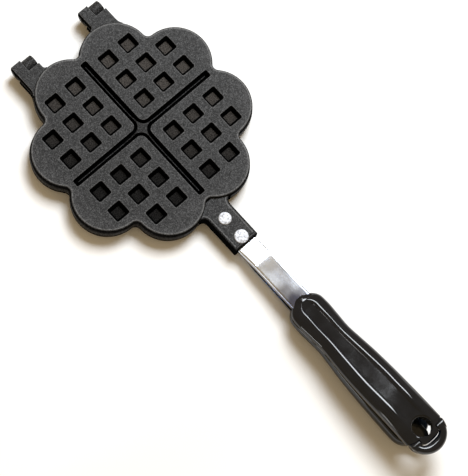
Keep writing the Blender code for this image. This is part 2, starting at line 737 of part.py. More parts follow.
def grip_mesh(name, length, end_round):
    """Body of a grip, lofted through its cross-sections; end_round rounds the far end in plan and height."""
    rings = []
    for station in STATION_SHARES:
        along = station * length
        half = share_at(HALF_WIDTH_SHARES, station) * GRIP_HALF
        inner = share_at(INNER_SHARES, station) * GRIP_CREST
        widest = share_at(WIDEST_SHARES, station) * GRIP_CREST
        crest = share_at(CREST_SHARES, station) * GRIP_CREST
        crest_half = share_at(CREST_HALF_SHARES, station) * GRIP_HALF
        trough = share_at(TROUGH_SHARES, station) * TROUGH_DEPTH
        past = (along - (length - end_round)) / end_round if end_round else 0
        if past > 0:
            shrink = max(LOWER_TIP_SHARE, math.sqrt(max(0, 1 - past * past)))
            half = half * shrink
            crest_half = crest_half * shrink
            crest = widest + (crest - widest) * (1 + shrink) / 2
        section = grip_section(half, inner, widest, crest, crest_half, trough)
        rings.append([(GRIP_FRONT + along, across, up) for across, up in section])
    shape = bmesh.new()
    loft_into(shape, rings)
    return mesh_from(name, shape)


def cut_grip_fixings(grip, name):
    """Slot for the tang and the stepped holes for the two screws."""
    tang_top = strap_top(GRIP_FRONT)
    tang_half = STRAP_HALF - STRAP_THICKNESS
    shape = bmesh.new()
    box_into(shape, (GRIP_FRONT - OVERRUN, -tang_half - TANG_GAP, tang_top - STRAP_THICKNESS - TANG_GAP),
             (GRIP_FRONT + TANG_LENGTH + TANG_GAP, tang_half + TANG_GAP, tang_top + TANG_GAP))
    cut(grip, mesh_from(f"{name}_tang_slot", shape))
    shape = bmesh.new()
    for along in SCREW_PLACES:
        cylinder_into(shape, SCREW_SHANK_RADIUS + HOLE_GAP, (along, 0, SCREW_HEAD_SEAT),
                      (along, 0, SCREW_TIP + HOLE_GAP), BORE_STEPS)
    cut(grip, mesh_from(f"{name}_screw_holes", shape))
    shape = bmesh.new()
    for along in SCREW_PLACES:
        cylinder_into(shape, SCREW_HEAD_RADIUS + HOLE_GAP, (along, 0, -OVERRUN),
                      (along, 0, SCREW_HEAD_SEAT + SEAT_GAP), BORE_STEPS)
    cut(grip, mesh_from(f"{name}_screw_seats", shape))


def swept_quarter(reach, half, power, steps):
    """Half outline ahead of the pivot, from -half across to +half, bulging to reach."""
    outline = []
    for k in range(steps + 1):
        turn = math.pi * (k / steps - 1 / 2)
        bulge = max(0, math.cos(turn)) ** power
        outline.append((PIVOT_PLACE + reach * bulge,
                        math.copysign(abs(math.sin(turn)) ** power, turn) * half))
    return outline


def make_upper_grip():
    """Upper grip with its hanging eye and the tongue that carries the latch."""
    grip = add_object("upper_grip", grip_mesh("upper_grip", GRIP_LENGTH, 0), parts)
    swing = LATCH_KNUCKLE_RADIUS + LATCH_SWING_GAP
    back = PIVOT_PLACE - swing
    end = GRIP_FRONT + GRIP_LENGTH + OVERRUN
    outline = arc((PIVOT_PLACE, PIVOT_HEIGHT), swing, math.pi / 2, math.pi, CORNER_STEPS)
    outline += [(back, -OVERRUN), (end + swing, -OVERRUN), (end + swing, PIVOT_HEIGHT + swing)]
    reach = GRIP_HALF + OVERRUN
    for side in (-1, 1):
        ends = sorted((side * TONGUE_HALF, side * reach))
        cut(grip, prism_mesh(f"shoulder_{side}", outline, *ends, upright=True))
    shape = bmesh.new()
    box_into(shape, (back, -TONGUE_HALF - OVERRUN, -OVERRUN),
             (end, TONGUE_HALF + OVERRUN, PIVOT_HEIGHT - TONGUE_BELOW))
    cut(grip, mesh_from("below_tongue", shape))

    tongue = tongue_mesh()
    cut(grip, tongue, 'UNION')
    cut_grip_fixings(grip, "upper")
    shape = bmesh.new()
    cylinder_into(shape, EYE_RADIUS, (EYE_PLACE, 0, -OVERRUN), (EYE_PLACE, 0, GRIP_CREST + OVERRUN),
                  EYE_STEPS)
    cut(grip, mesh_from("eye", shape))
    shape = bmesh.new()
    for side in (-1, 1):
        cylinder_into(shape, PIN_RADIUS + PIN_GAP,
                      (PIVOT_PLACE, side * (TONGUE_HALF - LATCH_PIN_BITE - PIN_GAP), PIVOT_HEIGHT),
                      (PIVOT_PLACE, side * (TONGUE_HALF + OVERRUN), PIVOT_HEIGHT), BORE_STEPS)
    cut(grip, mesh_from("tongue_bores", shape))
    return grip


def tongue_mesh():
    """Tongue ahead of the eye: rounded in plan, and round about the pivot in side view."""
    root = EYE_PLACE - EYE_RADIUS / 2
    plan = swept_quarter(TONGUE_TIP, TONGUE_HALF, TONGUE_POWER, 2 * CORNER_STEPS)
    root_half = TONGUE_HALF - TONGUE_ROOT_INSET
    plan += [(root, root_half), (root, -root_half)]
    low = PIVOT_HEIGHT - TONGUE_BELOW
    high = PIVOT_HEIGHT + LATCH_KNUCKLE_RADIUS
    blank = prism_mesh("tongue_body", plan, low - OVERRUN, high + OVERRUN)
    body = add_object("tongue_body", blank, cutters)
    start = -math.asin(TONGUE_BELOW / LATCH_KNUCKLE_RADIUS)
    side = arc((PIVOT_PLACE, PIVOT_HEIGHT), LATCH_KNUCKLE_RADIUS, start, math.pi / 2, 2 * CORNER_STEPS)
    side += [(root - OVERRUN, high), (root - OVERRUN, low + TONGUE_ROOT_INSET)]
    reach = TONGUE_HALF + OVERRUN
    cut(body, prism_mesh("tongue_side", side, -reach, reach, upright=True), 'INTERSECT')
    mesh = evaluated_copy("tongue", body)
    for tool in list(body.children):
        bpy.data.objects.remove(tool, do_unlink=True)
    bpy.data.objects.remove(body, do_unlink=True)
    return mesh


def make_lower_grip():
    """Lower grip with a rounded end and the catch nose for the latch."""
    grip = add_object("lower_grip", grip_mesh("lower_grip", LOWER_GRIP_LENGTH, LOWER_END_ROUND), parts)
    face = INNER_SHARES[-1][1] * GRIP_CREST
    top = face - NOSE_RISE
    lip_foot, root = top + NOSE_LIP, face + NOSE_EMBED
    outline = [(NOSE_STEM_START, root), (NOSE_STEM_START, top), (NOSE_REACH, top),
               (NOSE_REACH, lip_foot), (NOSE_STEM_END, lip_foot), (NOSE_STEM_END, root)]
    cut(grip, prism_mesh("catch_nose", outline, -NOSE_HALF, NOSE_HALF, upright=True), 'UNION')
    cut_grip_fixings(grip, "lower")
    return grip


def make_latch_ring():
    """C-shaped ring: a rounded bar bent round the tongue, with a knuckle on the pivot at each end."""
    centre = PIVOT_PLACE - RING_CENTRE_SETBACK
    widest = math.acos(RING_CENTRE_SETBACK / RING_OUTER_RADIUS)
    knuckle_inner = TONGUE_HALF + LATCH_SIDE_GAP
    knuckle_outer = RING_OUTER_RADIUS * math.sin(widest)
    inner = swept_quarter(RING_INNER_REACH, knuckle_inner + RING_INNER_STEP, RING_POWER, RING_STEPS)
    outer = arc((centre, 0), RING_OUTER_RADIUS, -widest, widest, RING_STEPS)
    shape = bmesh.new()
    rings = []
    for (in_along, in_across), (out_along, out_across) in zip(inner, outer):
        ring = []
        for k in range(4 * SECTION_STEPS):
            turn = math.pi / 2 * k / SECTION_STEPS
            cos, sin = math.cos(turn), math.sin(turn)
            spread = (1 + math.copysign(abs(cos) ** RING_SECTION_POWER, cos)) / 2
            rise = math.copysign(abs(sin) ** RING_SECTION_POWER, sin) * RING_HALF_HEIGHT
            ring.append((in_along + (out_along - in_along) * spread,
                         in_across + (out_across - in_across) * spread, PIVOT_HEIGHT + rise))
        rings.append(ring)
    loft_into(shape, rings)
    ring = add_object("latch_ring", mesh_from("latch_ring", shape), parts)
    for side in (-1, 1):
        shape = bmesh.new()
        cylinder_into(shape, LATCH_KNUCKLE_RADIUS, (PIVOT_PLACE, side * knuckle_inner, PIVOT_HEIGHT),
                      (PIVOT_PLACE, side * knuckle_outer, PIVOT_HEIGHT), ROUND_STEPS)
        cut(ring, mesh_from(f"latch_knuckle_{side}", shape), 'UNION')
    shape = bmesh.new()
    for side in (-1, 1):
        near, far = side * (knuckle_inner - OVERRUN), side * (knuckle_outer + OVERRUN)
        cylinder_into(shape, PIN_RADIUS + PIN_GAP, (PIVOT_PLACE, near, PIVOT_HEIGHT),
                      (PIVOT_PLACE, far, PIVOT_HEIGHT), BORE_STEPS)
    cut(ring, mesh_from("ring_bores", shape))
    return ring, knuckle_outer


def pin_object(name, length):
    """Pin turned about Z, its middle at the origin, with chamfered ends."""
    half = length / 2
    tip = PIN_RADIUS - PIN_CHAMFER
    profile = [(0, half), (tip, half), (PIN_RADIUS, half - PIN_CHAMFER), (PIN_RADIUS, PIN_CHAMFER - half),
               (tip, -half), (0, -half)]
    return turned_object(name, profile, BORE_STEPS, parts)


def lay_across(along, across, height):
    """Matrix that lays a thing turned about Z along Y at a place."""
    return Matrix.Translation((along, across, height)) @ Matrix.Rotation(math.pi / 2, 4, 'X')


def build():
    """Model every piece of the closed iron and hang the moving ones on their axes."""
    lid_axis = axis_empty("lid_hinge_axis", UPPER @ Matrix.Translation((-HINGE_REACH, 0, 0)))
    pivot = Matrix.Translation((PIVOT_PLACE, 0, PIVOT_HEIGHT))
    latch_axis = axis_empty("latch_axis", UPPER @ pivot, lid_axis)

    cast = new_material("cast_aluminium_dark", (0.075, 0.076, 0.073), 0.62, 0.75)
    steel = new_material("polished_steel", (0.72, 0.72, 0.74), 0.28, 1.0)
    plastic = new_material("black_phenolic", (0.011, 0.011, 0.012), 0.22, 0.0)
    rivet_metal = new_material("bright_aluminium", (0.86, 0.86, 0.87), 0.42, 1.0)
    pin_metal = new_material("pin_steel", (0.30, 0.30, 0.31), 0.40, 1.0)

    plate = make_plate()
    twin = add_object("lower_plate", evaluated_copy("lower_plate", plate), parts)
    place(plate, UPPER, cast, lid_axis)
    place(twin, LOWER, cast)

    strap = make_strap()
    twin = add_object("lower_strap", evaluated_copy("lower_strap", strap), parts)
    place(strap, UPPER, steel, lid_axis)
    place(twin, LOWER, steel)

    for half, world, carrier in (("upper", UPPER, lid_axis), ("lower", LOWER, None)):
        for end, along, radius in zip(("inner", "outer"), RIVET_PLACES, RIVET_HEAD_RADII):
            rivet = turned_object(f"{half}_rivet_{end}", rivet_profile(radius), ROUND_STEPS, parts)
            place(rivet, world @ Matrix.Translation((along, 0, 0)), rivet_metal, carrier)
        for end, along in zip(("front", "rear"), SCREW_PLACES):
            screw = turned_object(f"{half}_grip_screw_{end}", screw_profile(), BORE_STEPS, parts)
            place(screw, world @ Matrix.Translation((along, 0, 0)), pin_metal, carrier)

    place(make_upper_grip(), UPPER, plastic, lid_axis)
    place(make_lower_grip(), LOWER, plastic)

    ring, ring_outer = make_latch_ring()
    place(ring, UPPER, plastic, latch_axis)
    inner_end = TONGUE_HALF - LATCH_PIN_BITE
    outer_end = ring_outer - LATCH_PIN_INSET
    hinge_pin_length = EAR_WIDTH - 2 * KNUCKLE_INSET + 2 * PIN_GAP
    for name, side in (("left", 1), ("right", -1)):
        pin = pin_object(f"hinge_pin_{name}", hinge_pin_length)
        place(pin, UPPER @ lay_across(-HINGE_REACH, side * EAR_OFFSET, 0), pin_metal)
        pin = pin_object(f"latch_pin_{name}", outer_end - inner_end)
        middle = side * (inner_end + outer_end) / 2
        place(pin, UPPER @ lay_across(PIVOT_PLACE, middle, PIVOT_HEIGHT), pin_metal, lid_axis)
    hide_cutters()


clear_scene()
parts = new_collection(PART_NAME)
cutters = new_collection(f"{PART_NAME}_cutters")
build()
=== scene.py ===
"""Dresses the closed stovetop waffle iron for its photograph.

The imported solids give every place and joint. The pieces made here follow them within a few millimetres and
add what the solids leave out: rounded rims on pockets and slots, the recessed back of the moulded grips,
hammered rivet heads, and the grain, brushing and gloss of each finish.

Frame: metres, +X from the hinge towards the grips, +Y across, +Z up, origin in the middle of the face
that the iron rests on. Each half is worked out upwards from the parting plane between the plates.
"""

import logging
import math
from dataclasses import dataclass
from enum import Enum

import bmesh
import bpy
import numpy as np
from mathutils import Euler, Matrix, Vector
from mathutils.geometry import delaunay_2d_cdt


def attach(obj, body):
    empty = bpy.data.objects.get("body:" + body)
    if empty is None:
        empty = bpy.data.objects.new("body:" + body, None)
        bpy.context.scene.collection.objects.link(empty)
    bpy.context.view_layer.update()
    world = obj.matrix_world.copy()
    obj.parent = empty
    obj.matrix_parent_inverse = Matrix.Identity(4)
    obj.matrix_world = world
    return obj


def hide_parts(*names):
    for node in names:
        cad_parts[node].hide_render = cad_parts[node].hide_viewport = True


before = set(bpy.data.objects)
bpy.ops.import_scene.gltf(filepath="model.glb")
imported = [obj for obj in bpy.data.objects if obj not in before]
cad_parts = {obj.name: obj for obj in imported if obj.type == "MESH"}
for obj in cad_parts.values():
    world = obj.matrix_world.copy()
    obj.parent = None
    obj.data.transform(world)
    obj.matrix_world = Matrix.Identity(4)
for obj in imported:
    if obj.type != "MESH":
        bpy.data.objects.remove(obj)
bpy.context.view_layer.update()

log = logging.getLogger("waffle_iron")

Triple = tuple[float, float, float]
Colour = Triple
Pair = tuple[float, float]
Table = tuple[Pair, ...]
Array = np.ndarray
Mesh = bpy.types.Mesh
Material = bpy.types.Material
Output = bpy.types.NodeSocket

# Height of the plane between the plates above the face that the iron rests on.
PARTING_HEIGHT = 0.00845

# Number on a mesh's points that steers light and shade painted into the coat: -1 on painted highlight lines
# along edges,
# 0 on open faces, 0.5 on walls and 1 on floors of wells, where shade is painted.
WELL_TONE = "well_tone"

# Smallest length that is divided by, and the distance within which points count as one.
TINY = 1e-9
TOUCHING = 1e-7

# Least divisor at a sharp corner of an outline, which keeps the corner from running far out.
LEAST_SHARE = 0.3


class Half(Enum):
    """The two halves of the iron, each with the body that carries it."""

    UPPER = "upper_iron"
    LOWER = "lower_iron"

    @property
    def word(self) -> str:
        """First word of the names of this half's pieces."""
        return self.name.lower()

    @property
    def matrix(self) -> Matrix:
        """Place of the half's own frame: at the parting plane, and for the lower half turned about X."""
        lift = Matrix.Translation((0, 0, PARTING_HEIGHT))
        return lift if self is Half.UPPER else lift @ Matrix.Rotation(math.pi, 4, "X")


class Socket(Enum):
    """Inputs of the surface shader that the finishes set."""

    COLOUR = "Base Color"
    METAL = "Metallic"
    ROUGH = "Roughness"
    NORMAL = "Normal"
    IOR = "IOR"
    SPECULAR = "Specular IOR Level"


def arc(centre: Pair, radius: float, start: float, end: float, steps: int) -> Array:
    """Points of a circular arc: centre plus radius times (cosine, sine) of evenly spaced angles.

    Args:
        centre: Middle of the circle.
        radius: Its radius.
        start: First angle, in radians.
        end: Last angle, in radians.
        steps: Number of straight runs.

    Returns:
        Array of shape (steps + 1, 2).
    """
    turn = np.linspace(start, end, steps + 1)
    return np.stack([centre[0] + radius * np.cos(turn), centre[1] + radius * np.sin(turn)], axis=1)


def circle(centre: Pair, radius: float, steps: int) -> Array:
    """Evenly spaced points of a full circle, counter-clockwise."""
    return arc(centre, radius, 0, 2 * math.pi, steps)[:-1]


def oblong(start: float, end: float, half: float) -> Array:
    """Counter-clockwise rectangle from start to end along X, reaching half to each side across."""
    return np.array([(start, -half), (end, -half), (end, half), (start, half)])


def turned(outline: Array, angle: float) -> Array:
    """Flat points turned about the origin by an angle, by the rule for rotating the plane."""
    cos, sin = math.cos(angle), math.sin(angle)
    return outline @ np.array([[cos, sin], [-sin, cos]])


def lifted(outline: Array, height: float) -> Array:
    """Flat points with one height added as their third coordinate."""
    return np.column_stack([outline, np.full(len(outline), height)])


def shrunk(outline: Array, distance: float) -> Array:
    """Counter-clockwise outline with every edge moved inwards by the same distance.

    Each point moves along the sum of its two edge normals, divided by one plus their dot product, which
    keeps both edges at the full distance.

    Args:
        outline: Array of shape (n, 2).
        distance: How far in, or out where negative.

    Returns:
        Array of the same shape.
    """
    ahead = np.roll(outline, -1, axis=0) - outline
    ahead = ahead / np.maximum(np.linalg.norm(ahead, axis=1, keepdims=True), TINY)
    normal = np.stack([-ahead[:, 1], ahead[:, 0]], axis=1)
    before = np.roll(normal, 1, axis=0)
    share = 1 + np.sum(normal * before, axis=1, keepdims=True)
    return outline + distance * (normal + before) / np.maximum(share, LEAST_SHARE)


def smooth_share(value: Array) -> Array:
    """Rise from 0 to 1 with level ends: three squares less two cubes of the clipped value."""
    clipped = np.clip(value, 0, 1)
    return clipped * clipped * (3 - 2 * clipped)


def signed_power(value: Array, power: float) -> Array:
    """Power of the size of each value, with the value's own sign."""
    return np.sign(value) * np.abs(value) ** power


def through_shares(table: Table, places: Array) -> Array:
    """Values on the smooth curve through a table of (place, value) shares.

    Between two entries the curve is a cubic whose end slopes are those of the chords through the
    neighbouring entries.

    Args:
        table: Entries in rising order of place.
        places: Where the values are wanted.

    Returns:
        One value for each place.
    """
    place, value = np.array(table).T
    slope = np.gradient(value, place)
    k = np.clip(np.searchsorted(place, places, side="right") - 1, 0, len(place) - 2)
    span = place[k + 1] - place[k]
    run = np.clip((places - place[k]) / span, 0, 1)
    flat = value[k] == value[k + 1]
    lead = np.where(flat, 0, slope[k]) * span * run * (1 - run) ** 2
    trail = np.where(flat, 0, slope[k + 1]) * span * run * run * (run - 1)
    return value[k] + (value[k + 1] - value[k]) * run * run * (3 - 2 * run) + lead + trail


def step_profile(travel: float, taper: float, near: float, far: float, flare: int = 1,
                 steps: int = 4) -> Array:
    """Profile of a wall between two levels: a quarter round, a leaning straight, and a quarter round.

    The first round runs from inset -near to 0, the straight leans by taper, and the second round adds
    far in the direction of flare while the last of the travel is used up.

    Args:
        travel: Distance between the two levels.
        taper: How far the straight leans inwards.
        near: Radius of the first round.
        far: Radius of the second round.
        flare: 1 where the second round goes on inwards, -1 where it turns back.
        steps: Straight runs in each round.

    Returns:
        Array of (inset, distance travelled) pairs.
    """
    turn = np.linspace(0, math.pi / 2, steps + 1)
    first = np.stack([near * (np.sin(turn) - 1), near * (1 - np.cos(turn))], axis=1)
    second = np.stack([taper + flare * far * (1 - np.cos(turn)), travel - far * (1 - np.sin(turn))], axis=1)
    return np.concatenate([first, second])


def lathed(profile: Array, steps: int, along: float = 0.0) -> Array:
    """Surface of revolution: each profile point goes round as (radius cosine, radius sine, height).

    Args:
        profile: Array of (radius, height) pairs.
        steps: Number of points round.
        along: Where on X the axis stands.

    Returns:
        Array of shape (profile points, steps, 3).
    """
    turn = np.linspace(0, 2 * math.pi, steps, endpoint=False)
    radius, height = profile[:, :1], profile[:, 1:]
    return np.stack([along + radius * np.cos(turn), radius * np.sin(turn), height + 0 * turn], axis=-1)


class Shell:
    """Points and faces of one mesh while it is put together."""

    def __init__(self) -> None:
        """Start with nothing."""
        self.blocks: list[Array] = []
        self.tones: list[Array] = []
        self.faces: list[list[int]] = []
        self.count = 0

    def add_points(self, points: Array, tones: Array | None = None) -> Array:
        """Add points of any grid shape.

        Args:
            points: Array whose last axis holds x, y and z.
            tones: Tone of each row of the grid, or 0 throughout.

        Returns:
            The points' numbers, in the grid's shape.
        """
        flat = points.reshape(-1, 3)
        numbers = np.arange(self.count, self.count + len(flat)).reshape(points.shape[:-1])
        self.blocks.append(flat)
        self.tones.append(np.zeros(len(flat)) if tones is None else np.repeat(tones, len(flat) // len(tones)))
        self.count += len(flat)
        return numbers

    def add_skin(self, rings: Array, tones: Array | None = None) -> Array:
        """Quads between neighbouring closed rings of a grid.

        Args:
            rings: Array of shape (rings, points, 3).
            tones: Tone of each ring, or 0 throughout.

        Returns:
            The points' numbers, of shape (rings, points).
        """
        numbers = self.add_points(rings, tones)
        after = np.roll(numbers, -1, axis=1)
        quads = np.stack([numbers[:-1], after[:-1], after[1:], numbers[1:]], axis=-1)
        self.faces += quads.reshape(-1, 4).tolist()
        return numbers

    def add_cap(self, ring: Array) -> None:
        """One flat face over a ring of point numbers."""
        self.faces.append(ring.tolist())

    def add_solid(self, rings: Array, tones: Array | None = None) -> None:
        """Skin over closed rings with one flat face at each end.

        Args:
            rings: Array of shape (rings, points, 3).
            tones: Tone of each ring, or 0 throughout.
        """
        skin = self.add_skin(rings, tones)
        self.add_cap(skin[0])
        self.add_cap(skin[-1])

    def add_flat(self, rings: list[Array], axes: tuple[int, int] = (0, 1)) -> None:
        """Triangles over the flat region inside the first ring and outside the others.

        The region is triangulated between all the rings' points, and a triangle is kept where a line
        from its middle crosses the rings an odd number of times.

        Args:
            rings: Rings of point numbers.
            axes: The two coordinates that the region is flat in.
        """
        points = np.concatenate(self.blocks)
        numbers = np.concatenate(rings)
        flat = points[numbers][:, axes]
        starts = np.cumsum([0] + [len(ring) for ring in rings])
        edges = []
        for start, end in zip(starts[:-1], starts[1:]):
            around = np.arange(start, end)
            edges.append(np.stack([around, np.roll(around, -1)], axis=1))
        edges = np.concatenate(edges)
        middle = flat.mean(axis=0)
        spread = np.abs(flat - middle).max()
        scaled = (flat - middle) / spread
        made = delaunay_2d_cdt([Vector(pair) for pair in scaled], edges.tolist(), [], 0, TOUCHING)
        origin = np.array([found[0] if found else -1 for found in made[3]])
        triangles = origin[np.array([face for face in made[2] if len(face) == 3])]
        triangles = triangles[(triangles >= 0).all(axis=1)]
        centre = scaled[triangles].mean(axis=1)
        first, second = scaled[edges[:, 0]], scaled[edges[:, 1]]
        above = (first[None, :, 1] > centre[:, None, 1]) != (second[None, :, 1] > centre[:, None, 1])
        rise = second[:, 1] - first[:, 1]
        rise = np.where(rise == 0, TINY, rise)
        along = first[:, 0] + (centre[:, None, 1] - first[:, 1]) / rise * (second[:, 0] - first[:, 0])
        crossings = (above & (centre[:, None, 0] < along)).sum(axis=1)
        self.faces += numbers[triangles[crossings % 2 == 1]].tolist()

    def add_slab(self, outline: Array, low: float, high: float, edge: float, upright: bool = False,
                 holes: tuple[Array, ...] = (), rim_tone: float = 0.0, wall_tone: float = 0.0) -> None:
        """Slab on a flat outline with rounded rims and straight holes.

        The rim's inset falls as one less a sine while the height rises as one less a cosine.

        Args:
            outline: Counter-clockwise outline.
            low: First face, along Z, or along Y where upright.
            high: Second face.
            edge: Radius of the rims.
            upright: Whether the outline stands in X and Z.
            holes: Outlines of holes through the slab.
            rim_tone: Tone of the rounded rims.
            wall_tone: Tone of the wall between them.
        """
        rim = [0.0, rim_tone, rim_tone / 2, wall_tone]
        tones = np.array(rim + rim[::-1])
        turn = np.linspace(0, math.pi / 2, len(rim))
        insets = edge * (1 - np.sin(turn))
        climbs = edge * (1 - np.cos(turn))
        levels = [(low + climb, inset) for climb, inset in zip(climbs, insets)]
        levels += [(high - climb, inset) for climb, inset in zip(climbs[::-1], insets[::-1])]
        rings = np.stack([self.placed(shrunk(outline, inset), level, upright) for level, inset in levels])
        skin = self.add_skin(rings, tones)
        bores = [self.add_skin(np.stack([self.placed(hole, level, upright) for level in (low, high)]))
                 for hole in holes]
        axes = (0, 2) if upright else (0, 1)
        self.add_flat([skin[0]] + [bore[0] for bore in bores], axes)
        self.add_flat([skin[-1]] + [bore[-1] for bore in bores], axes)

    @staticmethod
    def placed(outline: Array, level: float, upright: bool) -> Array:
        """Flat outline put at a level.

        Args:
            outline: Array of shape (n, 2).
            level: Height, or distance along Y where upright.
            upright: Whether the outline stands in X and Z instead of lying in X and Y.

        Returns:
            Array of shape (n, 3).
        """
        if not upright:
            return lifted(outline, level)
        return np.column_stack([outline[:, 0], np.full(len(outline), level), outline[:, 1]])

    def mesh(self, name: str, place: Matrix) -> Mesh:
        """Mesh with its points in place, its seams merged and its faces pointing out.

        Args:
            name: Name of the mesh.
            place: Matrix from the points' own frame to the iron's.

        Returns:
            The new mesh.
        """
        points = np.concatenate(self.blocks)
        matrix = np.array(place)
        points = points @ matrix[:3, :3].T + matrix[:3, 3]
        mesh = bpy.data.meshes.new(name)
        mesh.from_pydata(points.tolist(), [], self.faces)
        tones = np.concatenate(self.tones)
        if tones.any():
            store = mesh.attributes.new(WELL_TONE, "FLOAT", "POINT")
            store.data.foreach_set("value", tones.astype(np.float32))
        shape = bmesh.new()
        shape.from_mesh(mesh)
        bmesh.ops.remove_doubles(shape, verts=shape.verts, dist=TOUCHING)
        bmesh.ops.recalc_face_normals(shape, faces=shape.faces)
        shape.to_mesh(mesh)
        shape.free()
        return mesh


def show(name: str, mesh: Mesh, material: Material, body: str,
         nodes: tuple[str, ...], crease: float = 38.0) -> bpy.types.Object:
    """Put a finished mesh into the scene in place of its solids.

    Args:
        name: Name of the piece.
        mesh: Its mesh, in the iron's frame.
        material: Its finish.
        body: Body that carries it.
        nodes: Solids that it stands for.
        crease: Angle in degrees past which an edge stays sharp.

    Returns:
        The new object.
    """
    mesh.shade_smooth()
    mesh.set_sharp_from_angle(angle=math.radians(crease))
    piece = bpy.data.objects.new(name, mesh)
    bpy.context.scene.collection.objects.link(piece)
    mesh.materials.clear()
    mesh.materials.append(material)
    weigh = piece.modifiers.new("even_shading", "WEIGHTED_NORMAL")
    weigh.keep_sharp = True
    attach(piece, body)
    if nodes:
        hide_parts(*nodes)
    log.info("%s: %d faces on %s", name, len(mesh.polygons), body)
    return piece


def slab_mesh(name: str, outline: Array, low: float, high: float, edge: float, upright: bool = False) -> Mesh:
    """Closed slab for cutting or joining.

    Args:
        name: Name of the mesh.
        outline: Counter-clockwise outline.
        low: First face, along Z, or along Y where upright.
        high: Second face.
        edge: Radius of the rims.
        upright: Whether the outline stands in X and Z.

    Returns:
        The new mesh, in the outline's own frame.
    """
    shell = Shell()
    shell.add_slab(outline, low, high, edge, upright)
    return shell.mesh(name, Matrix())


def carved(mesh: Mesh, tool: Mesh, operation: str) -> Mesh:
    """Boolean of one closed mesh with another.

    Args:
        mesh: Mesh that is cut or joined.
        tool: Mesh that cuts or joins it.
        operation: DIFFERENCE, UNION or INTERSECT.

    Returns:
        A new mesh; both of the old ones are removed.
    """
    work = [bpy.data.objects.new(item.name, item) for item in (mesh, tool)]
    for item in work:
        bpy.context.scene.collection.objects.link(item)
    step = work[0].modifiers.new("carve", "BOOLEAN")
    step.operation = operation
    step.object = work[1]
    bpy.context.view_layer.update()
    evaluated = work[0].evaluated_get(bpy.context.evaluated_depsgraph_get())
    result = bpy.data.meshes.new_from_object(evaluated)
    result.name = mesh.name
    for item in work:
        bpy.data.objects.remove(item, do_unlink=True)
    for item in (mesh, tool):
        bpy.data.meshes.remove(item)
    return result


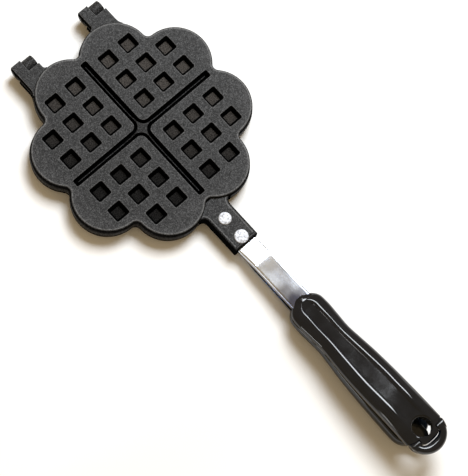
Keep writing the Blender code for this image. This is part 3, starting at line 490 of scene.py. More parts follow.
class NodeSheet:
    """Node tree of one material, with short ways to add and join nodes."""

    def __init__(self, name: str) -> None:
        """Start a material with its surface shader and object coordinates.

        Args:
            name: Name of the material.
        """
        self.material = bpy.data.materials.new(name)
        self.material.use_nodes = True
        self.nodes = self.material.node_tree.nodes
        self.links = self.material.node_tree.links
        self.shader = self.nodes["Principled BSDF"]
        self.place = self.nodes.new("ShaderNodeTexCoord").outputs["Object"]

    def set(self, socket: Socket, value: float | tuple[float, ...]) -> None:
        """Set one input of the surface shader."""
        self.shader.inputs[socket.value].default_value = value

    def feed(self, socket: Socket, output: Output) -> None:
        """Join an output to one input of the surface shader."""
        self.links.new(output, self.shader.inputs[socket.value])

    def noise(self, scale: float, detail: float = 3.0, rough: float = 0.55,
              stretch: Triple = (1.0, 1.0, 1.0)) -> Output:
        """Noise over the object's own coordinates.

        Args:
            scale: Waves in a metre.
            detail: Number of finer layers.
            rough: How strong the finer layers are.
            stretch: Factors on x, y and z, small along a direction in which the pattern runs long.

        Returns:
            The noise value.
        """
        mapping = self.nodes.new("ShaderNodeMapping")
        mapping.inputs["Scale"].default_value = stretch
        self.links.new(self.place, mapping.inputs["Vector"])
        texture = self.nodes.new("ShaderNodeTexNoise")
        texture.inputs["Scale"].default_value = scale
        texture.inputs["Detail"].default_value = detail
        texture.inputs["Roughness"].default_value = rough
        self.links.new(mapping.outputs["Vector"], texture.inputs["Vector"])
        return texture.outputs["Fac"]

    def ramp(self, value: Output, stops: tuple[float, ...], colours: tuple[Colour, ...]) -> Output:
        """Colours between stops.

        Args:
            value: What runs along the ramp.
            stops: Places from 0 to 1.
            colours: One colour for each stop.

        Returns:
            The colour.
        """
        node = self.nodes.new("ShaderNodeValToRGB")
        points = node.color_ramp.elements
        while len(points) < len(stops):
            points.new(0.5)
        for point, place, colour in zip(points, stops, colours):
            point.position = place
            point.color = (*colour, 1)
        self.links.new(value, node.inputs["Fac"])
        return node.outputs["Color"]

    def span(self, value: Output, low: float, high: float, start: float = 0.3, end: float = 0.7) -> Output:
        """Numbers that run evenly with a value.

        Args:
            value: What they follow.
            low: Number where the value is at its start.
            high: Number where it is at its end.
            start: Where the run begins.
            end: Where it ends.

        Returns:
            The number, held at its two ends.
        """
        node = self.nodes.new("ShaderNodeMapRange")
        node.inputs["From Min"].default_value = start
        node.inputs["From Max"].default_value = end
        node.inputs["To Min"].default_value = low
        node.inputs["To Max"].default_value = high
        self.links.new(value, node.inputs["Value"])
        return node.outputs["Result"]

    def math(self, operation: str, first: Output, second: Output | float) -> Output:
        """One sum on two values.

        Args:
            operation: Name of the sum, such as ADD.
            first: First value.
            second: Second value, or a plain number.

        Returns:
            The result.
        """
        node = self.nodes.new("ShaderNodeMath")
        node.operation = operation
        self.links.new(first, node.inputs[0])
        if isinstance(second, (int, float)):
            node.inputs[1].default_value = second
        else:
            self.links.new(second, node.inputs[1])
        return node.outputs["Value"]

    def weighted(self, first: Output, second: Output, share: float) -> Output:
        """A share of the first value plus the rest of the second."""
        return self.math("ADD", self.math("MULTIPLY", first, share), self.math("MULTIPLY", second, 1 - share))

    def mix(self, share: Output, first: Output, second: Output) -> Output:
        """Blend of two colours.

        Args:
            share: Share of the second colour.
            first: First colour.
            second: Second colour.

        Returns:
            The colour.
        """
        node = self.nodes.new("ShaderNodeMix")
        node.data_type = "RGBA"
        self.links.new(share, node.inputs["Factor"])
        self.links.new(first, node.inputs["A"])
        self.links.new(second, node.inputs["B"])
        return node.outputs["Result"]

    def attribute(self, name: str) -> Output:
        """Number on the mesh's points.

        Args:
            name: Name that it is stored under.

        Returns:
            The number.
        """
        node = self.nodes.new("ShaderNodeAttribute")
        node.attribute_name = name
        return node.outputs["Fac"]

    def coordinate(self, axis: str) -> Output:
        """One of the object's own coordinates.

        Args:
            axis: X, Y or Z.

        Returns:
            The coordinate.
        """
        node = self.nodes.new("ShaderNodeSeparateXYZ")
        self.links.new(self.place, node.inputs["Vector"])
        return node.outputs[axis]

    def bump(self, height: Output, distance: float, strength: float, under: Output | None = None) -> Output:
        """Raised pattern.

        Args:
            height: Height from 0 to 1.
            distance: Metres that 1 stands for.
            strength: Share of it that shows.
            under: A coarser raised pattern that this one lies on.

        Returns:
            The bent normal.
        """
        node = self.nodes.new("ShaderNodeBump")
        node.inputs["Distance"].default_value = distance
        node.inputs["Strength"].default_value = strength
        self.links.new(height, node.inputs["Height"])
        if under is not None:
            self.links.new(under, node.inputs["Normal"])
        return node.outputs["Normal"]


@dataclass(frozen=True)
class CastCoat:
    """Dark non-stick coat on grainy cast metal.

    A fine grain and a coarser mottle add up to one speckle, which runs along every colour ramp. The tone on
    the surface's points says which ramp shows: painted highlight line on an edge, open face, painted shade on
    the wall of a well, or on its floor. Well floors are painted lighter towards -X and +Y, the key lamp's
    side, by the difference of the two coordinates.
    """

    dark: Colour = (0.0030, 0.0029, 0.0030)
    middle: Colour = (0.0115, 0.0112, 0.0112)
    pale: Colour = (0.082, 0.083, 0.087)
    # Painted highlight: pale lines along edges.
    edge_highlight: Colour = (0.165, 0.167, 0.173)
    # Painted shade: near black walls and dim floors of wells.
    well: Colour = (0.0010, 0.0010, 0.0012)
    well_wall: Colour = (0.0018, 0.0018, 0.0019)
    well_floor: Colour = (0.0230, 0.0220, 0.0212)
    # Painted light: floors of wells lighter towards -X and +Y, the key lamp's side.
    painted_lit_floor: Colour = (0.1080, 0.0980, 0.0900)
    face_stops: Triple = (0.40, 0.5, 0.66)
    edge_highlight_stops: Pair = (0.3, 0.6)
    wall_stops: Pair = (0.35, 0.65)
    floor_stops: Pair = (0.38, 0.66)
    painted_lit_stops: Pair = (0.34, 0.68)
    painted_lit_span: Pair = (-0.05, 0.045)
    edge_highlight_tones: Pair = (-1.0, 0.0)
    deep_tones: Pair = (0.05, 0.3)
    floor_tones: Pair = (0.8, 1.0)
    matt_tones: Pair = (0.02, 0.18)
    grain_scale: float = 1380.0
    grain_layers: Pair = (2.0, 0.65)
    grain_share: float = 0.86
    grain_height: float = 0.00014
    grain_strength: float = 0.7
    mottle_scale: float = 620.0
    mottle_layers: Pair = (2.0, 0.6)
    mottle_strength: float = 0.4
    roughness: Pair = (0.58, 0.42)
    specular: float = 0.17

    def build(self) -> Material:
        """Make the coat.

        Returns:
            Material with fine speckle in colour, gloss and height, with painted shade in wells and painted
            highlight lines on edges.
        """
        sheet = NodeSheet("cast_coat")
        grain = sheet.noise(self.grain_scale, *self.grain_layers)
        mottle = sheet.noise(self.mottle_scale, *self.mottle_layers)
        speckle = sheet.weighted(grain, mottle, self.grain_share)
        plain = sheet.ramp(speckle, self.face_stops, (self.dark, self.middle, self.pale))
        # Painted highlight lines along the edges, where the tone is below 0.
        worn = sheet.ramp(speckle, self.edge_highlight_stops, (self.middle, self.edge_highlight))
        # Painted shade on the walls and floors of wells, whose gloss also fades out by the tone.
        wall = sheet.ramp(speckle, self.wall_stops, (self.well, self.well_wall))
        dim_floor = sheet.ramp(speckle, self.floor_stops, (self.well, self.well_floor))
        # Floors of wells painted lighter towards the key lamp's side, by the difference of X and Y.
        painted_lit = sheet.ramp(speckle, self.painted_lit_stops, (self.well, self.painted_lit_floor))
        tone = sheet.attribute(WELL_TONE)
        toward = sheet.math("SUBTRACT", sheet.coordinate("X"), sheet.coordinate("Y"))
        face = sheet.mix(sheet.span(tone, 1.0, 0.0, *self.edge_highlight_tones), plain, worn)
        floor = sheet.mix(sheet.span(toward, 0.0, 1.0, *self.painted_lit_span), painted_lit, dim_floor)
        deep = sheet.mix(sheet.span(tone, 0.0, 1.0, *self.floor_tones), wall, floor)
        sheet.feed(Socket.COLOUR, sheet.mix(sheet.span(tone, 0.0, 1.0, *self.deep_tones), face, deep))
        sheet.feed(Socket.ROUGH, sheet.span(mottle, *self.roughness))
        coarse = sheet.bump(mottle, self.grain_height, self.mottle_strength)
        sheet.feed(Socket.NORMAL, sheet.bump(grain, self.grain_height, self.grain_strength, coarse))
        sheet.feed(Socket.SPECULAR, sheet.span(tone, self.specular, 0.0, *self.matt_tones))
        return sheet.material


@dataclass(frozen=True)
class PlatedSteel:
    """Bright plated strap, brushed along its length, with a painted dark, bluish reflection that grows
    towards the grip.
    """

    bright: Colour = (0.84, 0.90, 1.0)
    worn: Colour = (0.68, 0.76, 0.92)
    # Painted reflection: the strap's colour turns dark and bluish towards the grip, where dark surroundings
    # show in it.
    dark_reflection: Colour = (0.10, 0.12, 0.24)
    bright_stops: Pair = (0.35, 0.65)
    dark_reflection_stops: Pair = (0.35, 0.7)
    dark_reflection_span: Pair = (0.140, 0.170)
    dark_reflection_share: float = 0.9
    brush_scale: float = 1400.0
    brush_layers: Pair = (2.0, 0.5)
    brush_stretch: Triple = (0.03, 1.0, 1.0)
    brush_height: float = 0.00001
    brush_strength: float = 0.3
    smear_scale: float = 55.0
    smear_layers: Pair = (2.0, 0.5)
    roughness: Pair = (0.10, 0.14)
    metal: float = 1.0

    def build(self) -> Material:
        """Make the plating.

        Returns:
            Material with long brush marks, soft smears and a painted dark reflection that grows along X.
        """
        sheet = NodeSheet("plated_steel")
        brush = sheet.noise(self.brush_scale, *self.brush_layers, self.brush_stretch)
        smear = sheet.noise(self.smear_scale, *self.smear_layers)
        tone = sheet.ramp(brush, self.bright_stops, (self.worn, self.bright))
        # Painted reflection, blotched by the smears, that takes over towards the grip.
        dark_reflection = sheet.ramp(smear, self.dark_reflection_stops, (self.dark_reflection, self.worn))
        share = sheet.span(sheet.coordinate("X"), 0.0, self.dark_reflection_share, *self.dark_reflection_span)
        sheet.feed(Socket.COLOUR, sheet.mix(share, tone, dark_reflection))
        sheet.feed(Socket.ROUGH, sheet.span(smear, *self.roughness))
        sheet.feed(Socket.NORMAL, sheet.bump(brush, self.brush_height, self.brush_strength))
        sheet.set(Socket.METAL, self.metal)
        return sheet.material


@dataclass(frozen=True)
class HammeredRivet:
    """Soft bright metal with the marks of the rivet set."""

    low: Colour = (0.24, 0.24, 0.25)
    high: Colour = (0.62, 0.64, 0.69)
    stops: Pair = (0.38, 0.54)
    mark_scale: float = 560.0
    mark_layers: Pair = (2.0, 0.5)
    mark_share: float = 0.5
    mark_height: float = 0.0005
    mark_strength: float = 0.8
    scratch_scale: float = 1500.0
    scratch_layers: Pair = (2.0, 0.6)
    scratch_stretch: Triple = (1.0, 0.25, 1.0)
    scratch_height: float = 0.00008
    scratch_strength: float = 0.7
    roughness: Pair = (0.5, 0.7)
    metal: float = 0.7

    def build(self) -> Material:
        """Make the metal.

        Returns:
            Material with shallow dents and fine scratches.
        """
        sheet = NodeSheet("hammered_rivet")
        marks = sheet.noise(self.mark_scale, *self.mark_layers)
        scratch = sheet.noise(self.scratch_scale, *self.scratch_layers, self.scratch_stretch)
        mixed = sheet.weighted(marks, scratch, self.mark_share)
        sheet.feed(Socket.COLOUR, sheet.ramp(mixed, self.stops, (self.low, self.high)))
        sheet.feed(Socket.ROUGH, sheet.span(scratch, *self.roughness))
        dents = sheet.bump(marks, self.mark_height, self.mark_strength)
        sheet.feed(Socket.NORMAL, sheet.bump(scratch, self.scratch_height, self.scratch_strength, dents))
        sheet.set(Socket.METAL, self.metal)
        return sheet.material


@dataclass(frozen=True)
class BlackPhenolic:
    """Glossy black moulded plastic with the faint ripple of its mould."""

    deep: Colour = (0.0022, 0.0040, 0.0074)
    worn: Colour = (0.0046, 0.0066, 0.0104)
    stops: Pair = (0.4, 0.7)
    ripple_scale: float = 90.0
    ripple_layers: Pair = (2.0, 0.45)
    ripple_height: float = 0.0001
    ripple_strength: float = 0.09
    dust_scale: float = 1500.0
    dust_layers: Pair = (2.0, 0.5)
    dust_height: float = 0.00001
    dust_strength: float = 0.15
    roughness: Pair = (0.05, 0.10)
    refraction: float = 1.5

    def build(self) -> Material:
        """Make the plastic.

        Returns:
            Material with a slow ripple in the surface and slight dullness where hands rub it.
        """
        sheet = NodeSheet("black_phenolic")
        ripple = sheet.noise(self.ripple_scale, *self.ripple_layers)
        dust = sheet.noise(self.dust_scale, *self.dust_layers)
        sheet.feed(Socket.COLOUR, sheet.ramp(ripple, self.stops, (self.deep, self.worn)))
        sheet.feed(Socket.ROUGH, sheet.span(ripple, *self.roughness))
        slow = sheet.bump(ripple, self.ripple_height, self.ripple_strength)
        sheet.feed(Socket.NORMAL, sheet.bump(dust, self.dust_height, self.dust_strength, slow))
        sheet.set(Socket.IOR, self.refraction)
        return sheet.material


@dataclass(frozen=True)
class PlainSteel:
    """Turned steel of pins and screws."""

    low: Colour = (0.22, 0.22, 0.23)
    high: Colour = (0.42, 0.42, 0.43)
    stops: Pair = (0.3, 0.65)
    scale: float = 1500.0
    layers: Pair = (3.0, 0.6)
    height: float = 0.00002
    strength: float = 0.5
    roughness: Pair = (0.5, 0.32)
    metal: float = 1.0

    def build(self) -> Material:
        """Make the steel.

        Returns:
            Material with fine turning marks and darker stains.
        """
        sheet = NodeSheet("plain_steel")
        stain = sheet.noise(self.scale, *self.layers)
        sheet.feed(Socket.COLOUR, sheet.ramp(stain, self.stops, (self.low, self.high)))
        sheet.feed(Socket.ROUGH, sheet.span(stain, *self.roughness))
        sheet.feed(Socket.NORMAL, sheet.bump(stain, self.height, self.strength))
        sheet.set(Socket.METAL, self.metal)
        return sheet.material


@dataclass
class CastPlate:
    """One cast half: the flower slab with its wells and pegs, two hinge ears and the stub.

    Heights count from the parting plane. A painted highlight line runs round every outer edge, as a tone
    below
    0 on the points there; the tones of walls and wells lie above 0 and paint shade on them.
    """

    half: Half
    coat: Material
    lobes: int = 8
    lobe_centre_radius: float = 0.0586
    lobe_radius: float = 0.0284
    notch_fillet: float = 0.004
    height: float = 0.00845
    parting: float = 0.00015
    draft: float = 0.0007
    edge: float = 0.0014
    parting_edge: float = 0.0003
    rim: float = 0.0045
    floor: float = 0.0025
    cavity_draft: float = 0.0008
    peg_first: float = 0.0165
    peg_pitch: float = 0.020
    peg_root: float = 0.0132
    peg_top: float = 0.0112
    peg_clear: float = 0.00225
    peg_corner: float = 0.0016
    ridge_root: float = 0.0049
    ridge_top: float = 0.0023
    ridge_corner: float = 0.0099
    ridge_lean: float = 0.8
    pocket_mouth: float = 0.012
    pocket_floor: float = 0.0073
    pocket_depth: float = 0.0046
    pocket_corner: float = 0.0014
    mouth_round: float = 0.00045
    floor_round: float = 0.0005
    slot_outer: float = 0.0029
    slot_inner: float = 0.00036
    slot_round: float = 0.0003
    slot_depth: float = 0.0052
    slot_taper: float = 0.00025
    slot_reach: float = 0.0668
    slot_corner: float = 0.0078
    slot_end_round: float = 0.0012
    rib_reach: float = 0.0636
    rib_drop: float = 0.0026
    star_drop: float = 0.0003
    star_reach: Pair = (0.0055, 0.0150)
    # Painted highlight lines: their width, and tones below 0 on edges and at the mouths of wells.
    edge_highlight_width: float = 0.0006
    edge_highlight_tone: float = -1.0
    mouth_tone: float = -0.4
    # Painted shade: tones above 0 darken the walls and floors of wells and grooves, the rib, the outer wall
    # and the stub's walls.
    well_tones: Pair = (0.1, 0.5)
    pocket_tone: float = 1.0
    rib_tones: tuple[float, ...] = (0.5, 0.4, 0.14, 0.09)
    edge_shares: tuple[float, ...] = (0.1, 1.0, 0.8, 0.0)
    below_shares: tuple[float, ...] = (0.5, 1.0, 1.0)
    wall_tone: float = 0.28
    parting_tone: float = 0.06
    stub_tones: Pair = (0.14, 0.08)
    hinge_reach: float = 0.094
    ear_offset: float = 0.0335
    ear_width: float = 0.0186
    ear_top: float = 0.0073
    ear_end: float = 0.0992
    ear_step: float = 0.0887
    ear_embed: float = 0.002
    ear_flare: float = 0.009
    ear_fillet: float = 0.0022
    ear_edge: float = 0.0005
    ear_slit: float = 0.0006
    knuckle_radius: float = 0.0052
    knuckle_inset: float = 0.0001
    knuckle_edge: float = 0.0005
    pin_hole: float = 0.0018
    stub_root: float = 0.074
    stub_end: float = 0.1165
    stub_half: float = 0.011
    stub_top: float = 0.0063
    stub_edge: float = 0.0018
    stub_flat: float = 1.6
    stub_fillet: float = 0.004
    channel_start: float = 0.084
    channel_half: float = 0.0089
    channel_roof: float = 0.0039
    lobe_steps: int = 26
    fillet_steps: int = 7
    corner_steps: int = 4
    bend_steps: int = 8
    wall_steps: int = 5
    arm_points: int = 14
    flare_steps: int = 9
    root_steps: int = 14
    barrel_steps: int = 48
    bore_steps: int = 24
    stub_points: int = 7

    def notch(self) -> Pair:
        """Distance of a notch fillet's centre from the middle, and the half angle that the fillet spans.

        The centre lies on the line between two lobes, one lobe radius and one fillet radius from both
        lobe centres, by the theorem of Pythagoras.

        Returns:
            The distance and the half angle.
        """
        pitch = math.pi / self.lobes
        across = self.lobe_centre_radius * math.sin(pitch)
        reach = math.sqrt((self.lobe_radius + self.notch_fillet) ** 2 - across ** 2)
        return self.lobe_centre_radius * math.cos(pitch) + reach, math.atan2(across, reach)

    def lobe_arc(self, middle: float, inset: float) -> Array:
        """Outer arc of one lobe between its two tangent points.

        Args:
            middle: Angle at which the lobe stands.
            inset: How far the outline is moved inwards.

        Returns:
            Points of the arc.
        """
        span = math.pi / self.lobes + self.notch()[1]
        centre = (self.lobe_centre_radius * math.cos(middle), self.lobe_centre_radius * math.sin(middle))
        return arc(centre, self.lobe_radius - inset, middle - span, middle + span, self.lobe_steps)

    def flower(self, inset: float) -> Array:
        """Plate outline: lobe arcs, joined by notch fillets that bend the other way.

        Moved inwards, a lobe's radius shrinks by the inset and a fillet's radius grows by it.

        Args:
            inset: How far the outline is moved inwards.

        Returns:
            Counter-clockwise outline.
        """
        distance, meet = self.notch()
        pitch = math.pi / self.lobes
        runs = []
        for lobe in range(self.lobes):
            middle = pitch * (1 + 2 * lobe)
            runs.append(self.lobe_arc(middle, inset))
            at = middle + pitch
            centre = (distance * math.cos(at), distance * math.sin(at))
            start, end = at + math.pi + meet, at + math.pi - meet
            runs.append(arc(centre, self.notch_fillet + inset, start, end, self.fillet_steps)[1:-1])
        return np.concatenate(runs)

    def heart(self, ridge: float, inset: float) -> Array:
        """Outline of the first quarter's baking hollow.

        From the rounded tip it runs along the ridge beside X, up the notch fillet, round the first lobe
        to the notch between the two lobes, and back as its own mirror image about the diagonal.

        Args:
            ridge: Half the width of the ridges at this level.
            inset: Distance of the rim's inner wall from the plate's outline.

        Returns:
            Counter-clockwise outline.
        """
        distance, meet = self.notch()
        radius = self.notch_fillet + inset
        start = math.pi - math.asin(ridge / radius)
        first = arc((distance, 0), radius, start, math.pi - meet, self.corner_steps)
        lobe = self.lobe_arc(math.pi / self.lobes, inset)
        diagonal = math.pi / 4
        centre = (distance * math.cos(diagonal), distance * math.sin(diagonal))
        last = arc(centre, radius, diagonal + math.pi + meet, diagonal + math.pi, self.corner_steps)
        half = np.concatenate([first[:-1], lobe, last[1:]])
        back = half[::-1, ::-1][1:]
        corner = (self.ridge_corner, self.ridge_corner)
        tip = arc(corner, self.ridge_corner - ridge, math.pi, math.pi * 1.5, self.bend_steps)
        return np.concatenate([half, back, tip])

    def square(self, centre: Array, half: float, corner: float) -> Array:
        """Square with rounded corners: four quarter arcs joined by straight sides.

        Args:
            centre: Middle of the square.
            half: Half its side.
            corner: Radius of its corners.

        Returns:
            Counter-clockwise outline.
        """
        inner = half - corner
        corners = ((1, -1, -math.pi / 2), (1, 1, 0), (-1, 1, math.pi / 2), (-1, -1, math.pi))
        return np.concatenate([
            arc((centre[0] + x * inner, centre[1] + y * inner), corner, start, start + math.pi / 2,
                self.corner_steps) for x, y, start in corners])

    def peg_centres(self) -> Array:
        """Centres of the first quarter's pegs: three rows of three, less the outermost corner.

        Returns:
            Array of shape (8, 2).
        """
        rows, columns = np.mgrid[0:3, 0:3]
        kept = (rows + columns) < 4
        grid = np.stack([columns[kept], rows[kept]], axis=1)
        return self.peg_first + self.peg_pitch * grid

    def crossed(self, ends: tuple[Array, Array], half: float) -> Array:
        """Outline of a cross whose arms meet in concave quarter arcs, from a quarter turned four times.

        Args:
            ends: Runs of points before and after the arc of the first quarter.
            half: Half the width of an arm.

        Returns:
            Counter-clockwise outline.
        """
        corner = (self.slot_corner, self.slot_corner)
        bend = arc(corner, self.slot_corner - half, math.pi * 1.5, math.pi, self.bend_steps)
        quarter = np.concatenate([ends[0], bend, ends[1]])
        return np.concatenate([turned(quarter, turn * math.pi / 2) for turn in range(4)])

    def slots(self, inset: float) -> Array:
        """Outline of the cross of grooves, whose four arms have rounded ends.

        Args:
            inset: How far the outline lies inside the mouth.

        Returns:
            Counter-clockwise outline.
        """
        half, end = self.slot_outer - inset, self.slot_reach - inset
        round_end = max(self.slot_end_round - inset, self.slot_round)
        inner = half - round_end
        ends = [arc(centre, round_end, 0, math.pi / 2, self.corner_steps)
                for centre in ((end - round_end, inner), (inner, end - round_end))]
        return self.crossed((ends[0], ends[1]), half)

    def add_rib(self, shell: Shell) -> None:
        """Low rib along the middle of the grooves, rising to a star where they cross.

        The top's drop below the face grows from the star's to the rib's as the smooth share of the distance
        from the middle.

        Args:
            shell: Where the rib goes.
        """
        half, bevel = self.slot_inner, self.slot_round / 2
        out = np.linspace(self.slot_corner, self.rib_reach, self.arm_points)[1:]
        side = np.column_stack([out, np.full(len(out), half)])
        outline = self.crossed((side[::-1], side[:, ::-1]), half)
        near, far = self.star_reach
        share = smooth_share((np.linalg.norm(outline, axis=1) - near) / (far - near))
        top = self.height - self.star_drop - (self.rib_drop - self.star_drop) * share
        foot = np.full(len(outline), self.height - self.slot_depth - self.slot_round)
        levels = ((0.0, foot), (0.0, top - bevel * 3), (0.0, top - bevel), (bevel, top))
        rings = [np.column_stack([shrunk(outline, inset), level]) for inset, level in levels]
        skin = shell.add_skin(np.stack(rings), np.array(self.rib_tones))
        shell.add_flat([skin[0]])
        shell.add_flat([skin[-1]])

    def wall_tones(self, count: int) -> Array:
        """Tones down the outer wall: plain at the face, a painted highlight line at the edge, painted shade
        below, and fading to the parting.

        Args:
            count: Number of rings.

        Returns:
            One tone for each ring.
        """
        edge = np.array(self.edge_shares) * self.edge_highlight_tone
        below = np.array(self.below_shares) * self.wall_tone
        rest = count - len(edge) - len(below)
        return np.concatenate([edge, below, np.full(rest, self.parting_tone)])

    def tones_down(self, count: int, floor_tone: float) -> Array:
        """Tones down a well: plain at the face, a painted highlight at the mouth, then painted shade, darker
        to the wall and on.

        Args:
            count: Number of rings.
            floor_tone: Tone of the last ring.

        Returns:
            One tone for each ring.
        """
        mouth = [0.0, self.mouth_tone, self.mouth_tone / 2]
        upper = np.linspace(*self.well_tones, len(mouth))
        lower = np.linspace(self.well_tones[1], floor_tone, count - 2 * len(mouth))
        return np.concatenate([mouth, upper, lower])

    def with_line(self, profile: Array) -> Array:
        """Wall profile that starts a little earlier on the face, so that its edge can carry a painted
        highlight line.
        """
        return np.concatenate([profile[:1] - (self.edge_highlight_width, 0), profile])

    def add_slots(self, shell: Shell) -> Array:
        """Cross of grooves in the outer face, with its rib.

        Args:
            shell: Where it goes.

        Returns:
            Point numbers of its mouth.
        """
        wall = self.with_line(step_profile(self.slot_depth, self.slot_taper, self.slot_round,
                                           self.slot_taper))
        rings = [lifted(self.slots(inset), self.height - depth) for inset, depth in wall]
        skin = shell.add_skin(np.stack(rings), self.tones_down(len(wall), self.well_tones[1]))
        shell.add_flat([skin[-1]])
        self.add_rib(shell)
        return skin[0]

    def add_pocket(self, shell: Shell, centre: Array) -> Array:
        """One tapered pocket in the outer face, whose corners sharpen towards its floor.

        Args:
            shell: Where it goes.
            centre: Its middle.

        Returns:
            Point numbers of its mouth.
        """
        taper = (self.pocket_mouth - self.pocket_floor) / 2 - self.floor_round
        wall = self.with_line(step_profile(self.pocket_depth, taper, self.mouth_round, self.floor_round))
        rings = []
        for inset, depth in wall:
            corner = max(self.pocket_corner - inset * 0.5, self.mouth_round)
            outline = self.square(centre, self.pocket_mouth / 2 - inset, corner)
            rings.append(lifted(outline, self.height - depth))
        skin = shell.add_skin(np.stack(rings), self.tones_down(len(wall), self.pocket_tone))
        shell.add_cap(skin[-1])
        return skin[0]

    def add_hollow(self, shell: Shell, turn: float, centres: Array) -> Array:
        """One baking hollow, rounded at its mouth and floor, with its pegs.

        Args:
            shell: Where it goes.
            turn: Angle from the first quarter.
            centres: Middles of the pegs.

        Returns:
            Point numbers of its mouth.
        """
        floor = self.height - self.floor
        lean = self.ridge_root - self.ridge_top
        rings = []
        for inset, depth in step_profile(floor - self.parting, lean, self.mouth_round, self.floor_round):
            share = inset / lean
            outline = self.heart(self.ridge_top + lean * share * self.ridge_lean,
                                 self.rim + self.cavity_draft * share)
            rings.append(lifted(turned(outline, turn), self.parting + depth))
        skin = shell.add_skin(np.stack(rings))
        feet = [skin[-1]]
        taper = (self.peg_root - self.peg_top) / 2
        side = step_profile(floor - self.peg_clear, taper, self.floor_round, self.mouth_round)
        for centre in centres:
            rings = [lifted(self.square(centre, self.peg_root / 2 - inset, self.peg_corner), floor - climb)
                     for inset, climb in side]
            peg = shell.add_skin(np.stack(rings))
            feet.append(peg[0])
            shell.add_cap(peg[-1])
        shell.add_flat(feet)
        return skin[0]

    def add_body(self, shell: Shell) -> None:
        """Flower slab: outer wall, outer face with its wells, and parting face with the four hollows.

        Args:
            shell: Where the slab goes.
        """
        wall = self.with_line(step_profile(self.height - self.parting, self.draft, self.edge,
                                           self.parting_edge, -1, self.wall_steps))
        rings = [lifted(self.flower(self.draft - inset), self.height - depth) for inset, depth in wall]
        outside = shell.add_skin(np.stack(rings), self.wall_tones(len(wall)))
        face, parting = [outside[0], self.add_slots(shell)], [outside[-1]]
        for quarter in range(4):
            turn = quarter * math.pi / 2
            centres = turned(self.peg_centres(), turn)
            face += [self.add_pocket(shell, centre) for centre in centres]
            parting.append(self.add_hollow(shell, turn, centres))
        shell.add_flat(face)
        shell.add_flat(parting)

    def ear_plan(self, side: int) -> Array:
        """Outline of one ear from above, flaring into its lobe and stepping back beside the other knuckle.

        A flare is an arc tangent to the ear's side and to the lobe: its centre lies one flare radius outside
        the side, and one lobe radius and one flare radius from the lobe's centre, by the theorem of
        Pythagoras.

        Args:
            side: 1 for the ear at +Y, -1 for the one at -Y.

        Returns:
            Counter-clockwise outline.
        """
        pitch = math.pi / self.lobes
        lobe = (-self.lobe_centre_radius * math.cos(pitch), side * self.lobe_centre_radius * math.sin(pitch))
        middle = side * self.ear_offset
        inner, outer = (-side, self.ear_fillet), (side, self.ear_flare)
        flares, looks = [], []
        for way, radius in sorted((inner, outer)):
            across = middle + way * (self.ear_width / 2 + radius)
            along = lobe[0] - math.sqrt((self.lobe_radius + radius) ** 2 - (across - lobe[1]) ** 2)
            look = math.atan2(lobe[1] - across, lobe[0] - along)
            flares.append(arc((along, across), radius, -way * math.pi / 2, look, self.flare_steps))
            looks.append(look + math.pi)
        turn = 2 * math.pi if looks[0] < looks[1] else 0
        root = arc(lobe, self.lobe_radius - self.ear_embed, looks[0] + turn, looks[1], self.root_steps)
        low, slit, high = middle - self.ear_width / 2, middle - self.ear_slit, middle + self.ear_width / 2
        end = np.array([(-self.ear_step, high), (-self.ear_step, slit),
                        (-self.ear_end, slit), (-self.ear_end, low)])
        return np.concatenate([flares[0], root, flares[1][::-1], end])

    def add_ear(self, shell: Shell, side: int) -> None:
        """One hinge ear: its flared slab and its own knuckle round the pin.

        Args:
            shell: Where the ear goes.
            side: 1 for the ear at +Y, -1 for the one at -Y.
        """
        # Painted highlight lines on the rims of the ear and its knuckle, painted shade on the ear's wall.
        shell.add_slab(self.ear_plan(side), self.parting, self.ear_top, self.ear_edge,
                       rim_tone=self.edge_highlight_tone, wall_tone=self.wall_tone)
        axis = (-self.hinge_reach, 0)
        barrel = circle(axis, self.knuckle_radius, self.barrel_steps)
        bore = circle(axis, self.pin_hole, self.bore_steps)
        low = side * self.ear_offset - self.ear_width / 2 + self.knuckle_inset
        high = side * self.ear_offset - self.ear_slit / 2
        shell.add_slab(barrel, low, high, self.knuckle_edge, True, (bore,), rim_tone=self.edge_highlight_tone)

    def stub_plan(self, inset: float) -> Array:
        """Stub seen from above: rounded end corners, straight sides, and a fillet into each lobe.

        A fillet's centre lies one fillet radius outside the side, and one lobe radius and one fillet radius
        from the lobe's centre, by the theorem of Pythagoras.

        Args:
            inset: How far the outline is moved inwards.

        Returns:
            Counter-clockwise outline.
        """
        pitch = math.pi / self.lobes
        lobe = (self.lobe_centre_radius * math.cos(pitch), self.lobe_centre_radius * math.sin(pitch))
        across = self.stub_half + self.stub_fillet
        gap = self.lobe_radius + self.stub_fillet
        along = lobe[0] + math.sqrt(gap ** 2 - (lobe[1] - across) ** 2)
        lean = math.atan2(lobe[1] - across, lobe[0] - along)
        corner = arc((self.stub_end - self.stub_edge, self.stub_half - self.stub_edge / 2),
                     self.stub_edge / 2 - inset / 2, 0, math.pi / 2, self.corner_steps)
        fillet = arc((along, across), self.stub_fillet + inset, math.pi * 1.5, lean, self.bend_steps)
        side = np.concatenate([corner + (self.stub_edge / 2 - inset / 2, -inset / 2), fillet,
                               [(self.stub_root, fillet[-1, 1])]])
        return np.concatenate([side, side[::-1] * (1, -1)])

    def add_stub(self, shell: Shell) -> None:
        """Stub: a full upper layer that flares into the lobes, on two side walls round the strap's channel.

        The upper layer's rim is a quarter round: the inset grows as one less the cosine while the height
        grows as the sine.

        Args:
            shell: Where the stub goes.
        """
        turn = np.linspace(0, math.pi / 2, self.stub_points)
        levels = [(self.channel_roof, 0.0)]
        levels += [(self.stub_top - self.stub_edge * (1 - math.sin(a)), self.stub_edge * (1 - math.cos(a)))
                   for a in turn]
        levels += [(self.stub_top, self.stub_edge + self.edge_highlight_width),
                   (self.stub_top, self.stub_edge * self.stub_flat)]
